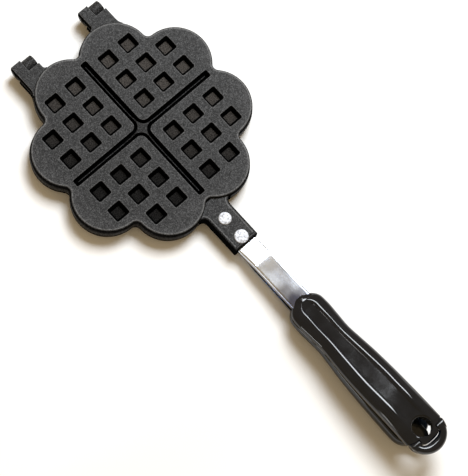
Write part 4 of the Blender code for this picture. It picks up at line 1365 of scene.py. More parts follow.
        # Painted shade on the stub's walls, then a painted highlight line along its top edge.
        last = [*self.stub_tones, 0.0, self.edge_highlight_tone, 0.0]
        tones = np.concatenate([np.full(len(levels) - len(last), self.wall_tone), last])
        shell.add_solid(np.stack([lifted(self.stub_plan(inset), height) for height, inset in levels]), tones)
        outer = self.stub_plan(0.0)
        plan = np.concatenate([
            outer[outer[:, 1] > 0], [(self.stub_root, self.parting), (self.channel_start, self.parting)],
            [(self.channel_start, self.channel_half), (self.stub_end - self.parting, self.channel_half)]])
        top = self.channel_roof + self.mouth_round
        for side in (1, -1):
            outline = (plan * (1, side))[::side]
            rings = np.stack([lifted(outline, level) for level in (self.parting, top)])
            skin = shell.add_skin(rings, np.full(len(rings), self.wall_tone))
            shell.add_flat([skin[0]])
            shell.add_flat([skin[-1]])

    def build(self) -> None:
        """Make the whole casting and stand it in for its solid."""
        shell = Shell()
        self.add_body(shell)
        for side in (-1, 1):
            self.add_ear(shell, side)
        self.add_stub(shell)
        name = f"{self.half.word}_casting"
        mesh = shell.mesh(name, self.half.matrix)
        show(name, mesh, self.coat, self.half.value, (f"{self.half.word}_plate",))


@dataclass
class Strap:
    """Pressed strap: a sheet with its two long edges folded down, and a flat tang inside the grip."""

    half: Half
    steel: Material
    thickness: float = 0.0013
    half_width: float = 0.0086
    start: float = 0.085
    ramp_start: float = 0.117
    ramp_end: float = 0.135
    low: float = 0.0036
    high: float = 0.0072
    end_rise: float = 0.0003
    flange_clear: float = 0.0006
    flange_depth: float = 0.005
    grip_front: float = 0.1725
    fold_radius: float = 0.0016
    tang_length: float = 0.0575
    plunge: float = 0.0033
    fold_steps: int = 6
    station_counts: tuple[int, int, int] = (5, 15, 12)

    def top(self, along: Array) -> Array:
        """Height of the outer face: level, then a ramp that is half straight and half eased, then level.

        Args:
            along: Places along X.

        Returns:
            One height for each place.
        """
        run = np.clip((along - self.ramp_start) / (self.ramp_end - self.ramp_start), 0, 1)
        rise = (run + smooth_share(run)) / 2
        end = np.clip((along - self.ramp_end) / (self.grip_front - self.ramp_end), 0, 1)
        return self.low + (self.high - self.low) * rise + self.end_rise * end

    def section(self, foot: Array, top: Array) -> Array:
        """Closed folded section at each station: over the outside and back along the inside.

        Outside and inside share the folds' centres, so the wall keeps its thickness round them.

        Args:
            foot: Height of the flanges' lower edges at each station.
            top: Height of the outer face at each station.

        Returns:
            Array of shape (stations, points, 2) of (across, up).
        """
        turn = np.linspace(0, math.pi / 2, self.fold_steps + 1)
        centre = self.half_width - self.fold_radius
        up = top[:, None] - self.fold_radius
        ones = np.ones((len(top), 1))

        def face(half: float, fold: float) -> tuple[Array, Array]:
            """One face of the sheet from the foot round the fold, as distances across and heights."""
            across = np.concatenate([ones * half, centre + fold * np.cos(turn) * ones], axis=1)
            return across, np.concatenate([foot[:, None], up + fold * np.sin(turn)], axis=1)

        outer = face(self.half_width, self.fold_radius)
        inner = face(self.half_width - self.thickness, self.fold_radius - self.thickness)
        across = np.concatenate([outer[0], -outer[0][:, ::-1], -inner[0], inner[0][:, ::-1]], axis=1)
        heights = np.concatenate([outer[1], outer[1][:, ::-1], inner[1], inner[1][:, ::-1]], axis=1)
        return np.stack([across, heights], axis=-1)

    def build(self) -> None:
        """Make the strap and its tang and stand them in for the solid."""
        end = self.grip_front + self.plunge
        ends = (self.start, self.ramp_start, self.ramp_end, end)
        runs = [np.linspace(*run) for run in zip(ends[:-1], ends[1:], self.station_counts)]
        along = np.unique(np.concatenate(runs))
        top = self.top(along)
        foot = np.maximum(self.flange_clear, top - self.flange_depth)
        flat = self.section(foot, top)
        rings = np.concatenate([np.broadcast_to(along[:, None, None], (*flat.shape[:2], 1)), flat], axis=-1)
        shell = Shell()
        skin = shell.add_skin(rings)
        shell.add_flat([skin[0]], (1, 2))
        shell.add_flat([skin[-1]], (1, 2))
        tang_half = self.half_width - self.thickness
        tang_end = self.grip_front + self.tang_length
        root = end - self.flange_depth
        height = float(self.top(np.array([tang_end]))[0])
        lip = self.end_rise / 4
        tang = oblong(root, tang_end, tang_half)
        shell.add_slab(tang, height - self.thickness + lip, height - lip, self.end_rise / 2)
        name = f"{self.half.word}_folded_strap"
        mesh = shell.mesh(name, self.half.matrix)
        show(name, mesh, self.steel, self.half.value, (f"{self.half.word}_strap",))


@dataclass
class RoundPiece:
    """Piece turned about its own axis from a profile of (radius, height) points."""

    name: str
    node: str
    body: str
    slot: str
    finish: Material
    place: Matrix
    profile: Array
    steps: int = 48
    dent: float = 0.0
    dent_waves: int = 5
    crease: float = 50.0

    def build(self) -> None:
        """Make the piece and stand it in for its solid.

        Dents move the surface by a product of sines of its two directions, fading at the rim.
        """
        rings = lathed(self.profile, self.steps)
        if self.dent:
            radius, height = self.profile[:, :1], self.profile[:, 1:]
            widest = radius.max()
            wave = np.sin(self.dent_waves * rings[..., 0] / widest * 2) * np.sin(
                self.dent_waves * rings[..., 1] / widest * 2 + 1)
            rings[..., 2] += self.dent * wave * np.clip(1 - radius / widest, 0, 1) * (height > height.mean())
        shell = Shell()
        shell.add_solid(rings)
        mesh = shell.mesh(self.name, self.place)
        show(self.name, mesh, self.finish, self.body, (self.node,), self.crease)


def rounded_ends(points: list[Pair], radius: float, steps: int = 4) -> Array:
    """Open profile with each inner corner replaced by a short curve.

    A corner becomes the quadratic curve that starts and ends one radius along its two runs.

    Args:
        points: Profile corners.
        radius: Distance from a corner at which its curve starts, at most half a run.
        steps: Straight runs in a curve.

    Returns:
        Array of profile points.
    """
    corners = np.array(points)
    runs = [corners[:1]]
    share = np.linspace(0, 1, steps + 1)[:, None]
    for before, corner, after in zip(corners[:-2], corners[1:-1], corners[2:]):
        back, ahead = before - corner, after - corner
        reach_back = min(radius, np.linalg.norm(back) / 2)
        reach_ahead = min(radius, np.linalg.norm(ahead) / 2)
        start = corner + back / np.linalg.norm(back) * reach_back
        end = corner + ahead / np.linalg.norm(ahead) * reach_ahead
        runs.append(start * (1 - share) ** 2 + corner * 2 * share * (1 - share) + end * share ** 2)
    runs.append(corners[-1:])
    return np.concatenate(runs)


@dataclass
class Fasteners:
    """Rivets, grip screws and pins of both halves."""

    rivet_metal: Material
    pin_metal: Material
    tip_share: float = 0.02
    rivet_places: Pair = (0.0921, 0.1102)
    rivet_radii: Pair = (0.0051, 0.0056)
    rivet_seat: float = 0.00635
    rivet_height: float = 0.0009
    rivet_shank: float = 0.0025
    rivet_crown: Pair = (0.55, 0.08)
    rivet_brim: Pair = (0.93, 0.4)
    rivet_rounding: float = 0.6
    rivet_dent: float = 0.12
    tail_seat: float = 0.0020
    tail_radius: float = 0.0042
    tail_height: float = 0.001
    tail_taper: float = 0.85
    screw_places: Pair = (0.190, 0.222)
    screw_head: float = 0.0032
    screw_head_height: float = 0.0018
    screw_seat: float = 0.0034
    screw_shank: float = 0.0017
    screw_tip: float = 0.0082
    screw_point: Pair = (0.7, 0.5)
    screw_brim: Pair = (0.96, 0.4)
    screw_flat: float = 0.6
    screw_rounding: float = 0.35
    hinge_reach: float = 0.094
    ear_offset: float = 0.0335
    pin_radius: float = 0.0015
    hinge_pin_length: float = 0.0176
    pivot_place: float = 0.3114
    pivot_height: float = 0.0117
    latch_pin_ends: Pair = (0.00575, 0.01564)
    pin_rounding: float = 0.25
    small_steps: int = 32

    def rivet_profile(self, radius: float) -> Array:
        """Low domed head, shank and tail of one rivet.

        The crown and the brim stand at shares of the head's radius and below its top by shares of its height.

        Args:
            radius: Radius of the head.

        Returns:
            Array of (radius, height) pairs.
        """
        seat, top = self.rivet_seat, self.rivet_seat + self.rivet_height
        tail = self.tail_seat - self.tail_height
        tip = self.rivet_shank * self.tip_share
        head = [(radius * out, top - self.rivet_height * down)
                for out, down in (self.rivet_crown, self.rivet_brim)]
        corners = [(tip, top), *head, (radius, seat), (self.rivet_shank, seat),
                   (self.rivet_shank, self.tail_seat), (self.tail_radius, self.tail_seat),
                   (self.tail_radius * self.tail_taper, tail), (tip, tail)]
        return rounded_ends(corners, self.rivet_height * self.rivet_rounding)

    def screw_profile(self) -> Array:
        """Pan head and shank of one grip screw, tip up.

        Returns:
            Array of (radius, height) pairs.
        """
        foot = self.screw_seat - self.screw_head_height
        tip = self.screw_shank * self.tip_share
        corners = [(tip, self.screw_tip), (self.screw_shank * self.screw_point[0], self.screw_tip),
                   (self.screw_shank, self.screw_tip - self.screw_shank * self.screw_point[1]),
                   (self.screw_shank, self.screw_seat), (self.screw_head, self.screw_seat),
                   (self.screw_head * self.screw_brim[0], foot + self.screw_head_height * self.screw_brim[1]),
                   (self.screw_head * self.screw_flat, foot), (tip, foot)]
        return rounded_ends(corners, self.screw_head_height * self.screw_rounding)

    def pin_profile(self, length: float) -> Array:
        """Plain pin with rounded ends, its middle at height 0.

        Args:
            length: Length of the pin.

        Returns:
            Array of (radius, height) pairs.
        """
        half = length / 2
        tip = self.pin_radius * self.tip_share
        corners = [(tip, half), (self.pin_radius, half), (self.pin_radius, -half), (tip, -half)]
        return rounded_ends(corners, self.pin_radius * self.pin_rounding)

    def add_pin(self, name: str, node: str, body: Half, place: Triple, length: float) -> None:
        """One pin that lies along Y.

        Args:
            name: Name of the piece.
            node: Solid that it stands for.
            body: Half that carries it.
            place: Its middle, in the upper half's own frame.
            length: Its length.
        """
        across = Half.UPPER.matrix @ Matrix.Translation(place) @ Matrix.Rotation(math.pi / 2, 4, "X")
        RoundPiece(name, node, body.value, "pin", self.pin_metal, across, self.pin_profile(length),
                   self.small_steps).build()

    def build(self) -> None:
        """Make every fastener and stand each in for its solid."""
        for half in Half:
            for end, along, radius in zip(("inner", "outer"), self.rivet_places, self.rivet_radii):
                RoundPiece(f"{half.word}_{end}_rivet_head", f"{half.word}_rivet_{end}", half.value, "rivet",
                           self.rivet_metal, half.matrix @ Matrix.Translation((along, 0, 0)),
                           self.rivet_profile(radius), dent=self.rivet_height * self.rivet_dent).build()
            for end, along in zip(("front", "rear"), self.screw_places):
                RoundPiece(f"{half.word}_{end}_screw", f"{half.word}_grip_screw_{end}", half.value, "pin",
                           self.pin_metal, half.matrix @ Matrix.Translation((along, 0, 0)),
                           self.screw_profile(), self.small_steps).build()
        start, end = self.latch_pin_ends
        for word, side in (("left", 1), ("right", -1)):
            self.add_pin(f"{word}_hinge_pin", f"hinge_pin_{word}", Half.LOWER,
                         (-self.hinge_reach, side * self.ear_offset, 0), self.hinge_pin_length)
            self.add_pin(f"{word}_latch_pin", f"latch_pin_{word}", Half.UPPER,
                         (self.pivot_place, side * (start + end) / 2, self.pivot_height), end - start)


@dataclass
class Grip:
    """Moulded grip with a recessed back; the upper one has the eye and the tongue, the lower one the nose."""

    half: Half
    plastic: Material
    front: float = 0.1725
    upper_length: float = 0.1365
    lower_length: float = 0.1355
    half_width: float = 0.0168
    crest: float = 0.0186
    foot_round: float = 0.0030
    trough: float = 0.0012
    crest_round: Pair = (0.0022, 0.0048)
    shoulder_round: float = 0.0036
    shoulder_lean: float = 0.34
    flank_limit: float = 0.45
    front_round: float = 0.010
    front_start: float = 0.3
    dome_length: float = 0.0065
    dome_base: float = 0.0084
    crest_start: float = 0.0048
    crest_length: float = 0.0085
    crest_least: float = 0.06
    crest_limit: float = 0.8
    recess_limit: float = 0.8
    foot_limit: float = 0.5
    end_round: float = 0.0165
    end_power: float = 2.6
    end_least: float = 0.3
    tang_length: float = 0.058
    tang_half: float = 0.0076
    tang_low: float = 0.0059
    tang_high: float = 0.0078
    socket_half: float = 0.0088
    socket_low: float = 0.0022
    socket_depth: float = 0.0040
    screw_places: Pair = (0.190, 0.222)
    screw_well: float = 0.0035
    screw_well_lip: float = 0.0005
    screw_well_levels: Triple = (0.0008, 0.0016, 0.0037)
    screw_bore: float = 0.0018
    screw_bore_end: float = 0.0085
    eye_place: float = 0.3035
    eye_radius: float = 0.0076
    eye_flare: float = 0.0010
    eye_faces: Pair = (0.262, 0.898)
    pivot_place: float = 0.3114
    pivot_height: float = 0.0117
    tongue_half: float = 0.00815
    tongue_tip: float = 0.0043
    tongue_below: float = 0.0018
    tongue_slope: float = 0.14
    tongue_power: float = 0.75
    tongue_edge: float = 0.0006
    knuckle_radius: float = 0.0045
    swing_gap: float = 0.0004
    nose_half: float = 0.006
    nose_rise: float = 0.0032
    nose_lip: float = 0.0022
    nose_reach: float = 0.3125
    nose_stem: Pair = (0.3015, 0.3076)
    nose_edge: float = 0.0005
    cut_edge: float = 0.0001
    overrun: float = 0.002
    crease: float = 26.0
    station_count: int = 150
    station_power: float = 1.5
    foot_points: int = 8
    quarter_points: int = 19
    shoulder_points: int = 7
    round_points: int = 15
    level_points: int = 9
    bulge_points: int = 33
    tip_steps: int = 24
    swing_steps: int = 16
    flare_points: int = 6
    lathe_steps: int = 72
    half_width_shares: Table = (
        (0.0, 0.54), (0.022, 0.70), (0.062, 0.82), (0.114, 0.863), (0.201, 0.84), (0.289, 0.80),
        (0.385, 0.857), (0.473, 0.917), (0.612, 0.964), (0.751, 0.982), (1.0, 1.0))
    inner_shares: Table = (
        (0.0, 0.054), (0.31, 0.054), (0.473, 0.097), (0.656, 0.161), (0.824, 0.226), (1.0, 0.28))
    widest_shares: Table = (
        (0.0, 0.296), (0.2, 0.296), (0.289, 0.333), (0.473, 0.42), (0.656, 0.538), (0.824, 0.624),
        (1.0, 0.645))
    crest_shares: Table = (
        (0.0, 0.545), (0.04, 0.56), (0.128, 0.591), (0.289, 0.613), (0.473, 0.72), (0.656, 0.876),
        (0.802, 1.0), (0.875, 0.990), (1.0, 0.892))
    crest_half_shares: Table = (
        (0.0, 0.40), (0.06, 0.385), (0.106, 0.37), (0.194, 0.385), (0.29, 0.375), (0.407, 0.43), (0.6, 0.505),
        (0.72, 0.495), (0.83, 0.495), (0.9, 0.48), (1.0, 0.5))
    trough_shares: Table = (
        (0.0, 0.0), (0.035, 0.0), (0.075, 1.0), (0.84, 1.0), (0.965, 0.0), (1.0, 0.0))

    def flank(self, half: Array, widest: Array, crest: Array, crest_half: Array) -> tuple[Array, Array]:
        """Outer side from the widest place up to the crest line.

        An elliptic arc starts upright at the widest place and ends at the shoulder's lean, whose tangent is
        the height over the width times the cosine over one plus the cosine of the arc's angle. A round of
        the shoulder's radius carries it on to level.

        Args:
            half: Half width at each station, as a column.
            widest: Height of the widest place.
            crest: Height of the crest.
            crest_half: Half distance between the crest lines.

        Returns:
            Distances across and heights, of shape (stations, points).
        """
        wide, tall = half - crest_half, crest - widest
        lean = np.minimum(self.shoulder_lean, np.arctan(self.flank_limit * tall / wide))
        radius = np.minimum(self.shoulder_round, wide / 3)
        wide, tall = wide - radius * np.sin(lean), tall - radius * (1 - np.cos(lean))
        ratio = np.tan(lean) * wide / tall
        cosine = ratio / (1 - ratio)
        reach = wide / (1 - cosine)
        climb = tall / np.sqrt(1 - cosine ** 2)
        turn = np.arccos(cosine) * np.linspace(0, 1, self.quarter_points)[None, 1:]
        left = lean * np.linspace(1, 0, self.shoulder_points)[None, 1:]
        across = np.concatenate([half - reach + reach * np.cos(turn),
                                 crest_half + radius * np.sin(left)], axis=1)
        up = np.concatenate([widest + climb * np.sin(turn), crest - radius * (1 - np.cos(left))], axis=1)
        return across, up

    def recess(self, share: Array, crest: Array, crest_half: Array, trough: Array) -> tuple[Array, Array]:
        """Recessed back from the crest line to the middle: a round that ends in a crease, then level.

        The round turns by the angle whose cosine is one less the depth over its radius.

        Args:
            share: Place of each station along the grip, as a column.
            crest: Height of the crest.
            crest_half: Half distance between the crest lines.
            trough: Depth of the recess.

        Returns:
            Distances across and heights, of shape (stations, points).
        """
        radius = self.crest_round[0] + (self.crest_round[1] - self.crest_round[0]) * share
        room = np.clip(crest_half * self.recess_limit / radius, 0, 1)
        depth = np.minimum(trough, radius * (1 - np.sqrt(1 - room ** 2)))
        turn = np.arccos(1 - depth / radius) * np.linspace(0, 1, self.round_points)[None, 1:]
        flat = np.linspace(1, 0, self.level_points)[None, 1:]
        across = np.concatenate([crest_half - radius * np.sin(turn),
                                 (crest_half - radius * np.sin(turn[:, -1:])) * flat], axis=1)
        up = np.concatenate([crest - radius * (1 - np.cos(turn)), crest - depth + 0 * flat], axis=1)
        return across, up

    def sections(self) -> Array:
        """Grid of the body's surface.

        Along it, every size follows its table of shares, and at the front the width, the crest and the
        crest lines close in as quarter ellipses. Round it, a point runs out over the flat inner face, up an
        elliptic quarter to the widest place, up a second elliptic quarter to the crest, and in over the
        recessed back.

        Returns:
            Array of shape (stations, points round, 3).
        """
        upper = self.half is Half.UPPER
        length = self.upper_length if upper else self.lower_length
        share = np.linspace(0, 1, self.station_count) ** self.station_power
        half = through_shares(self.half_width_shares, share) * self.half_width
        inner = through_shares(self.inner_shares, share) * self.crest
        widest = through_shares(self.widest_shares, share) * self.crest
        crest = through_shares(self.crest_shares, share) * self.crest
        crest_half = through_shares(self.crest_half_shares, share) * self.half_width
        trough = through_shares(self.trough_shares, share) * self.trough
        along = share * length
        if not upper:
            past = np.clip((along - (length - self.end_round)) / self.end_round, 0, 1)
            shrink = np.maximum(self.end_least, (1 - past ** self.end_power) ** (1 / self.end_power))
            half, crest_half = half * shrink, crest_half * shrink
            crest = widest + (crest - widest) * (1 + shrink) / 2

        def closing(start: float, run: float) -> Array:
            """Quarter ellipse from 0 at the start to 1 after the run."""
            left = 1 - np.clip((along - start) / run, 0, 1)
            return np.sqrt(1 - left ** 2)

        half = half * (self.front_start + (1 - self.front_start) * closing(0, self.front_round))
        crest = self.dome_base + (crest - self.dome_base) * closing(0, self.dome_length)
        crest_half = crest_half * np.maximum(closing(self.crest_start, self.crest_length), self.crest_least)
        crest_half = np.minimum(crest_half, half * self.crest_limit)
        foot = np.linspace(0, 1, self.foot_points)[None, :-1]
        quarter = np.linspace(0, math.pi / 2, self.quarter_points)[None, :]
        half, inner, widest = half[:, None], inner[:, None], widest[:, None]
        crest, crest_half = crest[:, None], crest_half[:, None]
        foot_round = np.minimum(self.foot_round, half * self.foot_limit)
        flat_end = half - foot_round
        side = self.flank(half, widest, crest, crest_half)
        back = self.recess(share[:, None], crest, crest_half, trough[:, None])
        across = np.concatenate([flat_end * foot, flat_end + foot_round * np.sin(quarter),
                                 side[0], back[0]], axis=1)
        up = np.concatenate([inner + 0 * foot, widest - (widest - inner) * np.cos(quarter),
                             side[1], back[1]], axis=1)
        across = np.concatenate([across, -across[:, -2:0:-1]], axis=1)
        up = np.concatenate([up, up[:, -2:0:-1]], axis=1)
        place = np.broadcast_to(self.front + along[:, None], across.shape)
        return np.stack([place, across, up], axis=-1)

    def lathe_tool(self, name: str, along: float, profile: Array) -> Mesh:
        """Closed turned tool about an upright axis on the middle line.

        Args:
            name: Name of the mesh.
            along: Where the axis stands.
            profile: Array of (radius, height) pairs.

        Returns:
            The new mesh.
        """
        shell = Shell()
        shell.add_solid(lathed(profile, self.lathe_steps, along))
        return shell.mesh(name, Matrix())

    def bulge(self, reach: float, half: float, power: float) -> Array:
        """Rounded front ahead of the pivot: powers of the cosine along and of the sine across.

        Args:
            reach: How far it stands ahead of the pivot.
            half: Half its width.
            power: Power of both.

        Returns:
            Points from -Y to +Y.
        """
        turn = np.linspace(-math.pi / 2, math.pi / 2, self.bulge_points)
        ahead = reach * np.clip(np.cos(turn), 0, 1) ** power
        return np.stack([self.pivot_place + ahead, signed_power(np.sin(turn), power) * half], axis=1)

    def tongue(self) -> Mesh:
        """Tongue ahead of the eye: its plan slab, cut by a side outline that is round about the pivot.

        Returns:
            The tongue's mesh.
        """
        root = self.eye_place - self.eye_radius / 2
        plan = np.concatenate([self.bulge(self.tongue_tip, self.tongue_half, self.tongue_power),
                               [(root, self.tongue_half), (root, -self.tongue_half)]])
        low, high = self.pivot_height - self.tongue_below, self.pivot_height + self.knuckle_radius
        start = -math.asin(self.tongue_below / self.knuckle_radius)
        end = math.pi / 2 - self.tongue_slope
        tip = arc((self.pivot_place, self.pivot_height), self.knuckle_radius, start, end, self.tip_steps)
        rise = (tip[-1, 0] - self.eye_place) * math.tan(self.tongue_slope)
        side = np.concatenate([tip, [(self.eye_place, tip[-1, 1] + rise), (root - self.overrun, tip[-1, 1]),
                                     (root - self.overrun, low)]])
        slab = slab_mesh("tongue", plan, low, high + rise, self.tongue_edge)
        reach = self.tongue_half + self.overrun
        cutter = slab_mesh("tongue_side", shrunk(side, -TINY), -reach, reach, self.cut_edge, True)
        return carved(slab, cutter, "INTERSECT")

    def finish_upper(self, mesh: Mesh) -> Mesh:
        """Cut the shoulders, join the tongue and open the eye with its rounded rims.

        The eye's wall flares at both faces by one less the cosine while it climbs by one less the sine.

        Args:
            mesh: The lofted body.

        Returns:
            The finished mesh.
        """
        swing = self.knuckle_radius + self.swing_gap
        back = self.pivot_place - swing
        end = self.front + self.upper_length + self.overrun
        outline = np.concatenate([
            arc((self.pivot_place, self.pivot_height), swing, math.pi / 2, math.pi, self.swing_steps),
            [(back, -self.overrun), (end + swing, -self.overrun), (end + swing, self.pivot_height + swing)]])
        for side in (-1, 1):
            low, high = sorted((side * self.tongue_half, side * (self.half_width + self.overrun)))
            mesh = carved(mesh, slab_mesh("shoulder", outline, low, high, self.cut_edge, True), "DIFFERENCE")
        below = oblong(back, end, self.tongue_half + self.overrun)
        under = self.pivot_height - self.tongue_below
        mesh = carved(mesh, slab_mesh("below", below, -self.overrun, under, self.cut_edge), "DIFFERENCE")
        mesh = carved(mesh, self.tongue(), "UNION")
        turn = np.linspace(0, math.pi / 2, self.flare_points)
        flare = self.eye_radius + self.eye_flare * (1 - np.cos(turn))
        climb = self.eye_flare * (1 - np.sin(turn))
        foot, top = (share * self.crest for share in self.eye_faces)
        wide = self.eye_radius + self.eye_flare
        profile = np.concatenate([
            [(wide, -self.overrun)], np.stack([flare, foot + climb], axis=1)[::-1],
            np.stack([flare, top - climb], axis=1), [(wide, self.crest + self.overrun)]])
        return carved(mesh, self.lathe_tool("eye", self.eye_place, profile), "DIFFERENCE")

    def finish_lower(self, mesh: Mesh) -> Mesh:
        """Join the catch nose, a stem with a lip that points away from the plates.

        Args:
            mesh: The lofted body.

        Returns:
            The finished mesh.
        """
        face = self.inner_shares[-1][1] * self.crest
        top = face - self.nose_rise
        start, end = self.nose_stem
        outline = np.array([(start, top), (self.nose_reach, top), (self.nose_reach, top + self.nose_lip),
                            (end, top + self.nose_lip), (end, face + self.foot_round),
                            (start, face + self.foot_round)])
        nose = slab_mesh("nose", outline, -self.nose_half, self.nose_half, self.nose_edge, True)
        tip = arc((self.nose_reach - self.nose_half, 0), self.nose_half, -math.pi / 2, math.pi / 2,
                  self.tip_steps)
        plan = shrunk(np.concatenate([tip, [(start - self.overrun, self.nose_half),
                                            (start - self.overrun, -self.nose_half)]]), -TINY)
        cutter = slab_mesh("nose_plan", plan, top - self.overrun, face + self.crest / 2, self.cut_edge)
        return carved(mesh, carved(nose, cutter, "INTERSECT"), "UNION")

    def build(self) -> None:
        """Make the grip and stand it in for its solid."""
        shell = Shell()
        shell.add_solid(self.sections())
        name = f"{self.half.word}_moulded_grip"
        mesh = shell.mesh(name, Matrix())
        mesh = self.finish_upper(mesh) if self.half is Half.UPPER else self.finish_lower(mesh)
        start = self.front - self.overrun
        cuts = (("tang_slot", self.tang_length, self.tang_half, self.tang_low),
                ("strap_socket", self.socket_depth, self.socket_half, self.socket_low))
        for word, length, half, low in cuts:
            outline = oblong(start, self.front + length, half)
            mesh = carved(mesh, slab_mesh(word, outline, low, self.tang_high, self.cut_edge), "DIFFERENCE")
        lip_low, lip_high, seat = self.screw_well_levels
        wide = self.screw_well + self.screw_well_lip
        profile = np.array([(wide, -self.overrun), (wide, lip_low), (self.screw_well, lip_high),
                            (self.screw_well, seat), (self.screw_bore, seat),
                            (self.screw_bore, self.screw_bore_end)])
        for along in self.screw_places:
            mesh = carved(mesh, self.lathe_tool("screw_well", along, profile), "DIFFERENCE")
        mesh.transform(self.half.matrix)
        show(name, mesh, self.plastic, self.half.value, (f"{self.half.word}_grip",), self.crease)


@dataclass
class LatchRing:
    """C-shaped latch: a rounded bar bent round the tongue, with a knuckle on the pivot at each end."""

    plastic: Material
    pivot_place: float = 0.3114
    pivot_height: float = 0.0117
    setback: float = 0.0034
    outer_radius: float = 0.0163
    inner_reach: float = 0.00455
    inner_half: float = 0.0088
    half_height: float = 0.0044
    knuckle_radius: float = 0.0045
    knuckle_ends: Pair = (0.0087, 0.01594)
    knuckle_edge: float = 0.0004
    bore: float = 0.0018
    section_power: float = 0.92
    disc_edge: float = 0.002
    inner_power: float = 0.7
    cut_edge: float = 0.0001
    overrun: float = 0.002
    crease: float = 34.0
    bar_steps: int = 80
    section_points: int = 40
    barrel_steps: int = 48
    bore_steps: int = 24
    disc_steps: int = 96

    def knuckle(self, side: int) -> Mesh:
        """One knuckle, cut to the ring's own round outline.

        Args:
            side: 1 for the knuckle at +Y, -1 for the one at -Y.

        Returns:
            The knuckle's mesh.
        """
        low, high = sorted(side * end for end in self.knuckle_ends)
        barrel = circle((self.pivot_place, self.pivot_height), self.knuckle_radius, self.barrel_steps)
        disc = circle((self.pivot_place - self.setback, 0), self.outer_radius, self.disc_steps)
        foot, top = self.pivot_height - self.knuckle_radius, self.pivot_height + self.knuckle_radius
        return carved(slab_mesh("knuckle", barrel, low, high, self.knuckle_edge, True),
                      slab_mesh("disc", disc, foot, top, self.disc_edge), "INTERSECT")

    def build(self) -> None:
        """Sweep the bar and join the two bored knuckles.

        Inside, the bar follows powers of cosine and sine below one; outside, a plain arc. Its section between
        the two is a superellipse: the same power of the cosine across and of the sine upwards.
        """
        turn = np.linspace(-math.pi / 2, math.pi / 2, self.bar_steps + 1)
        ahead = self.inner_reach * np.clip(np.cos(turn), 0, 1) ** self.inner_power
        aside = signed_power(np.sin(turn), self.inner_power) * self.inner_half
        inner = np.stack([self.pivot_place + ahead, aside], axis=1)
        widest = math.acos(self.setback / self.outer_radius)
        outer = arc((self.pivot_place - self.setback, 0), self.outer_radius, -widest, widest, self.bar_steps)
        around = np.linspace(0, 2 * math.pi, self.section_points, endpoint=False)
        spread = (1 + signed_power(np.cos(around), self.section_power)) / 2
        rise = signed_power(np.sin(around), self.section_power) * self.half_height
        flat = inner[:, None, :] + (outer - inner)[:, None, :] * spread[None, :, None]
        height = np.broadcast_to(self.pivot_height + rise[None, :, None], (*flat.shape[:2], 1))
        shell = Shell()
        shell.add_solid(np.concatenate([flat, height], axis=-1))
        mesh = shell.mesh("swinging_latch", Matrix())
        pivot = (self.pivot_place, self.pivot_height)
        start, end = self.knuckle_ends
        for side in (-1, 1):
            mesh = carved(mesh, self.knuckle(side), "UNION")
            low, high = sorted((side * (start - self.overrun), side * (end + self.overrun)))
            bore = circle(pivot, self.bore, self.bore_steps)
            mesh = carved(mesh, slab_mesh("bore", bore, low, high, self.cut_edge, True), "DIFFERENCE")
        mesh.transform(Half.UPPER.matrix)
        show("swinging_latch", mesh, self.plastic, "latch", ("latch_ring",), self.crease)


@dataclass(frozen=True)
class SoftLamp:
    """Square soft lamp that looks at the iron.

    Its direction is given by the angle round Z from +X and the height above the horizon, in degrees.
    """

    name: str
    turn: Pair
    size: float
    power: float
    colour: Colour = (1.0, 1.0, 1.0)
    target: Triple = (0.10, 0.0, 0.0)
    distance: float = 2.2

    def build(self) -> None:
        """Hang the lamp, in the direction of its turn's cosine and sine and its lift's cosine and sine."""
        data = bpy.data.lights.new(self.name, "AREA")
        data.shape = "SQUARE"
        data.size = self.size
        data.energy = self.power
        data.color = self.colour
        lamp = bpy.data.objects.new(self.name, data)
        bpy.context.scene.collection.objects.link(lamp)
        round_z, lift = (math.radians(angle) for angle in self.turn)
        level = math.cos(lift)
        toward = Vector((math.cos(round_z) * level, math.sin(round_z) * level, math.sin(lift)))
        lamp.location = Vector(self.target) + toward * self.distance
        lamp.rotation_euler = toward.to_track_quat("Z", "Y").to_euler()


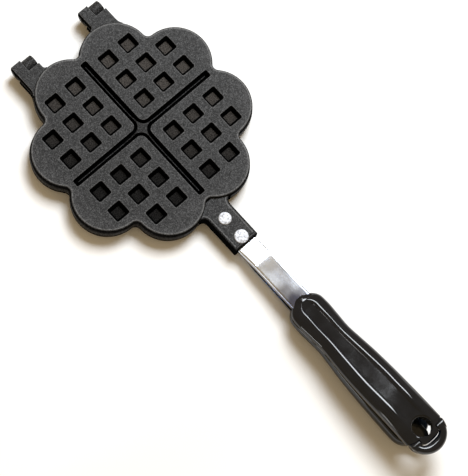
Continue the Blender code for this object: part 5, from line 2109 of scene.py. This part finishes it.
@dataclass
class Studio:
    """Plain pale floor, soft lamps and the photograph's camera."""

    floor_high: float = -0.0002
    floor_low: float = -0.0104
    floor_fold: float = 0.094
    floor_level: Pair = (0.234, 0.344)
    floor_half: float = 6.0
    floor_points: int = 25
    floor_colour: Colour = (0.94, 0.94, 0.94)
    floor_roughness: float = 0.9
    camera_place: Triple = (0.34556, -0.46149, 1.79107)
    camera_turn: Triple = (15.1645, -5.6530, 47.5177)
    lens_pixels: float = 2500.0
    frame_pixels: float = 476.0
    sensor: float = 36.0
    lamps: tuple[SoftLamp, ...] = (
        SoftLamp("key_lamp", (117.0, 56.0), 1.05, 63.0, (0.90, 0.95, 1.0)),
        SoftLamp("ramp_lamp", (152.4, 57.9), 0.5, 1.0), SoftLamp("rim_lamp", (-90.0, 9.0), 0.3, 2.0))
    sky: Colour = (1.0, 0.76, 0.45)
    sky_strength: float = 0.40

    def floor(self) -> None:
        """White floor that keeps the iron's shadow.

        It is level under the plates and falls by the smooth share to where the grips reach, alike on both
        sides of the hinge, so that the iron rests on it closed and open.
        """
        start, end = self.floor_level
        step = np.linspace(start, end, self.floor_points)
        side = np.concatenate([[0.0], step, [self.floor_half]])
        along = np.concatenate([-side[::-1], side[1:]])
        fall = smooth_share((np.abs(along) - start) / (end - start))
        height = self.floor_high + (self.floor_low - self.floor_high) * fall
        across = np.array([-self.floor_half, self.floor_half])[:, None]
        both = 0 * across
        grid = np.stack([along - self.floor_fold + both, across + 0 * along, height + both], axis=-1)
        numbers = np.arange(grid[..., 0].size).reshape(grid.shape[:-1])
        quads = np.stack([numbers[0, :-1], numbers[0, 1:], numbers[1, 1:], numbers[1, :-1]], axis=-1)
        mesh = bpy.data.meshes.new("studio_floor")
        mesh.from_pydata(grid.reshape(-1, 3).tolist(), [], quads.tolist())
        mesh.shade_smooth()
        floor = bpy.data.objects.new("studio_floor", mesh)
        bpy.context.scene.collection.objects.link(floor)
        sheet = NodeSheet("studio_white")
        sheet.set(Socket.COLOUR, (*self.floor_colour, 1))
        sheet.set(Socket.ROUGH, self.floor_roughness)
        mesh.materials.append(sheet.material)

    def build(self) -> None:
        """Set up view transform, world, floor, lamps and camera."""
        scene = bpy.context.scene
        scene.view_settings.view_transform = "Standard"
        world = bpy.data.worlds.new("soft_room")
        world.use_nodes = True
        background = world.node_tree.nodes["Background"]
        background.inputs["Color"].default_value = (*self.sky, 1)
        background.inputs["Strength"].default_value = self.sky_strength
        scene.world = world
        self.floor()
        for lamp in self.lamps:
            lamp.build()
        data = bpy.data.cameras.new("photo_camera")
        data.sensor_width = self.sensor
        data.lens = self.lens_pixels * self.sensor / self.frame_pixels
        camera = bpy.data.objects.new("photo_camera", data)
        scene.collection.objects.link(camera)
        camera.location = self.camera_place
        camera.rotation_euler = Euler([math.radians(value) for value in self.camera_turn], "XYZ")
        scene.camera = camera


def main() -> None:
    """Build every sub-assembly in order."""
    logging.basicConfig(level=logging.INFO, format="%(name)s %(message)s")
    coat = CastCoat().build()
    steel = PlatedSteel().build()
    plastic = BlackPhenolic().build()
    rivet_metal = HammeredRivet().build()
    pin_metal = PlainSteel().build()
    for half in Half:
        CastPlate(half, coat).build()
        Strap(half, steel).build()
        Grip(half, plastic).build()
    Fasteners(rivet_metal, pin_metal).build()
    LatchRing(plastic).build()
    Studio().build()


if __name__ == "__main__":
    main()
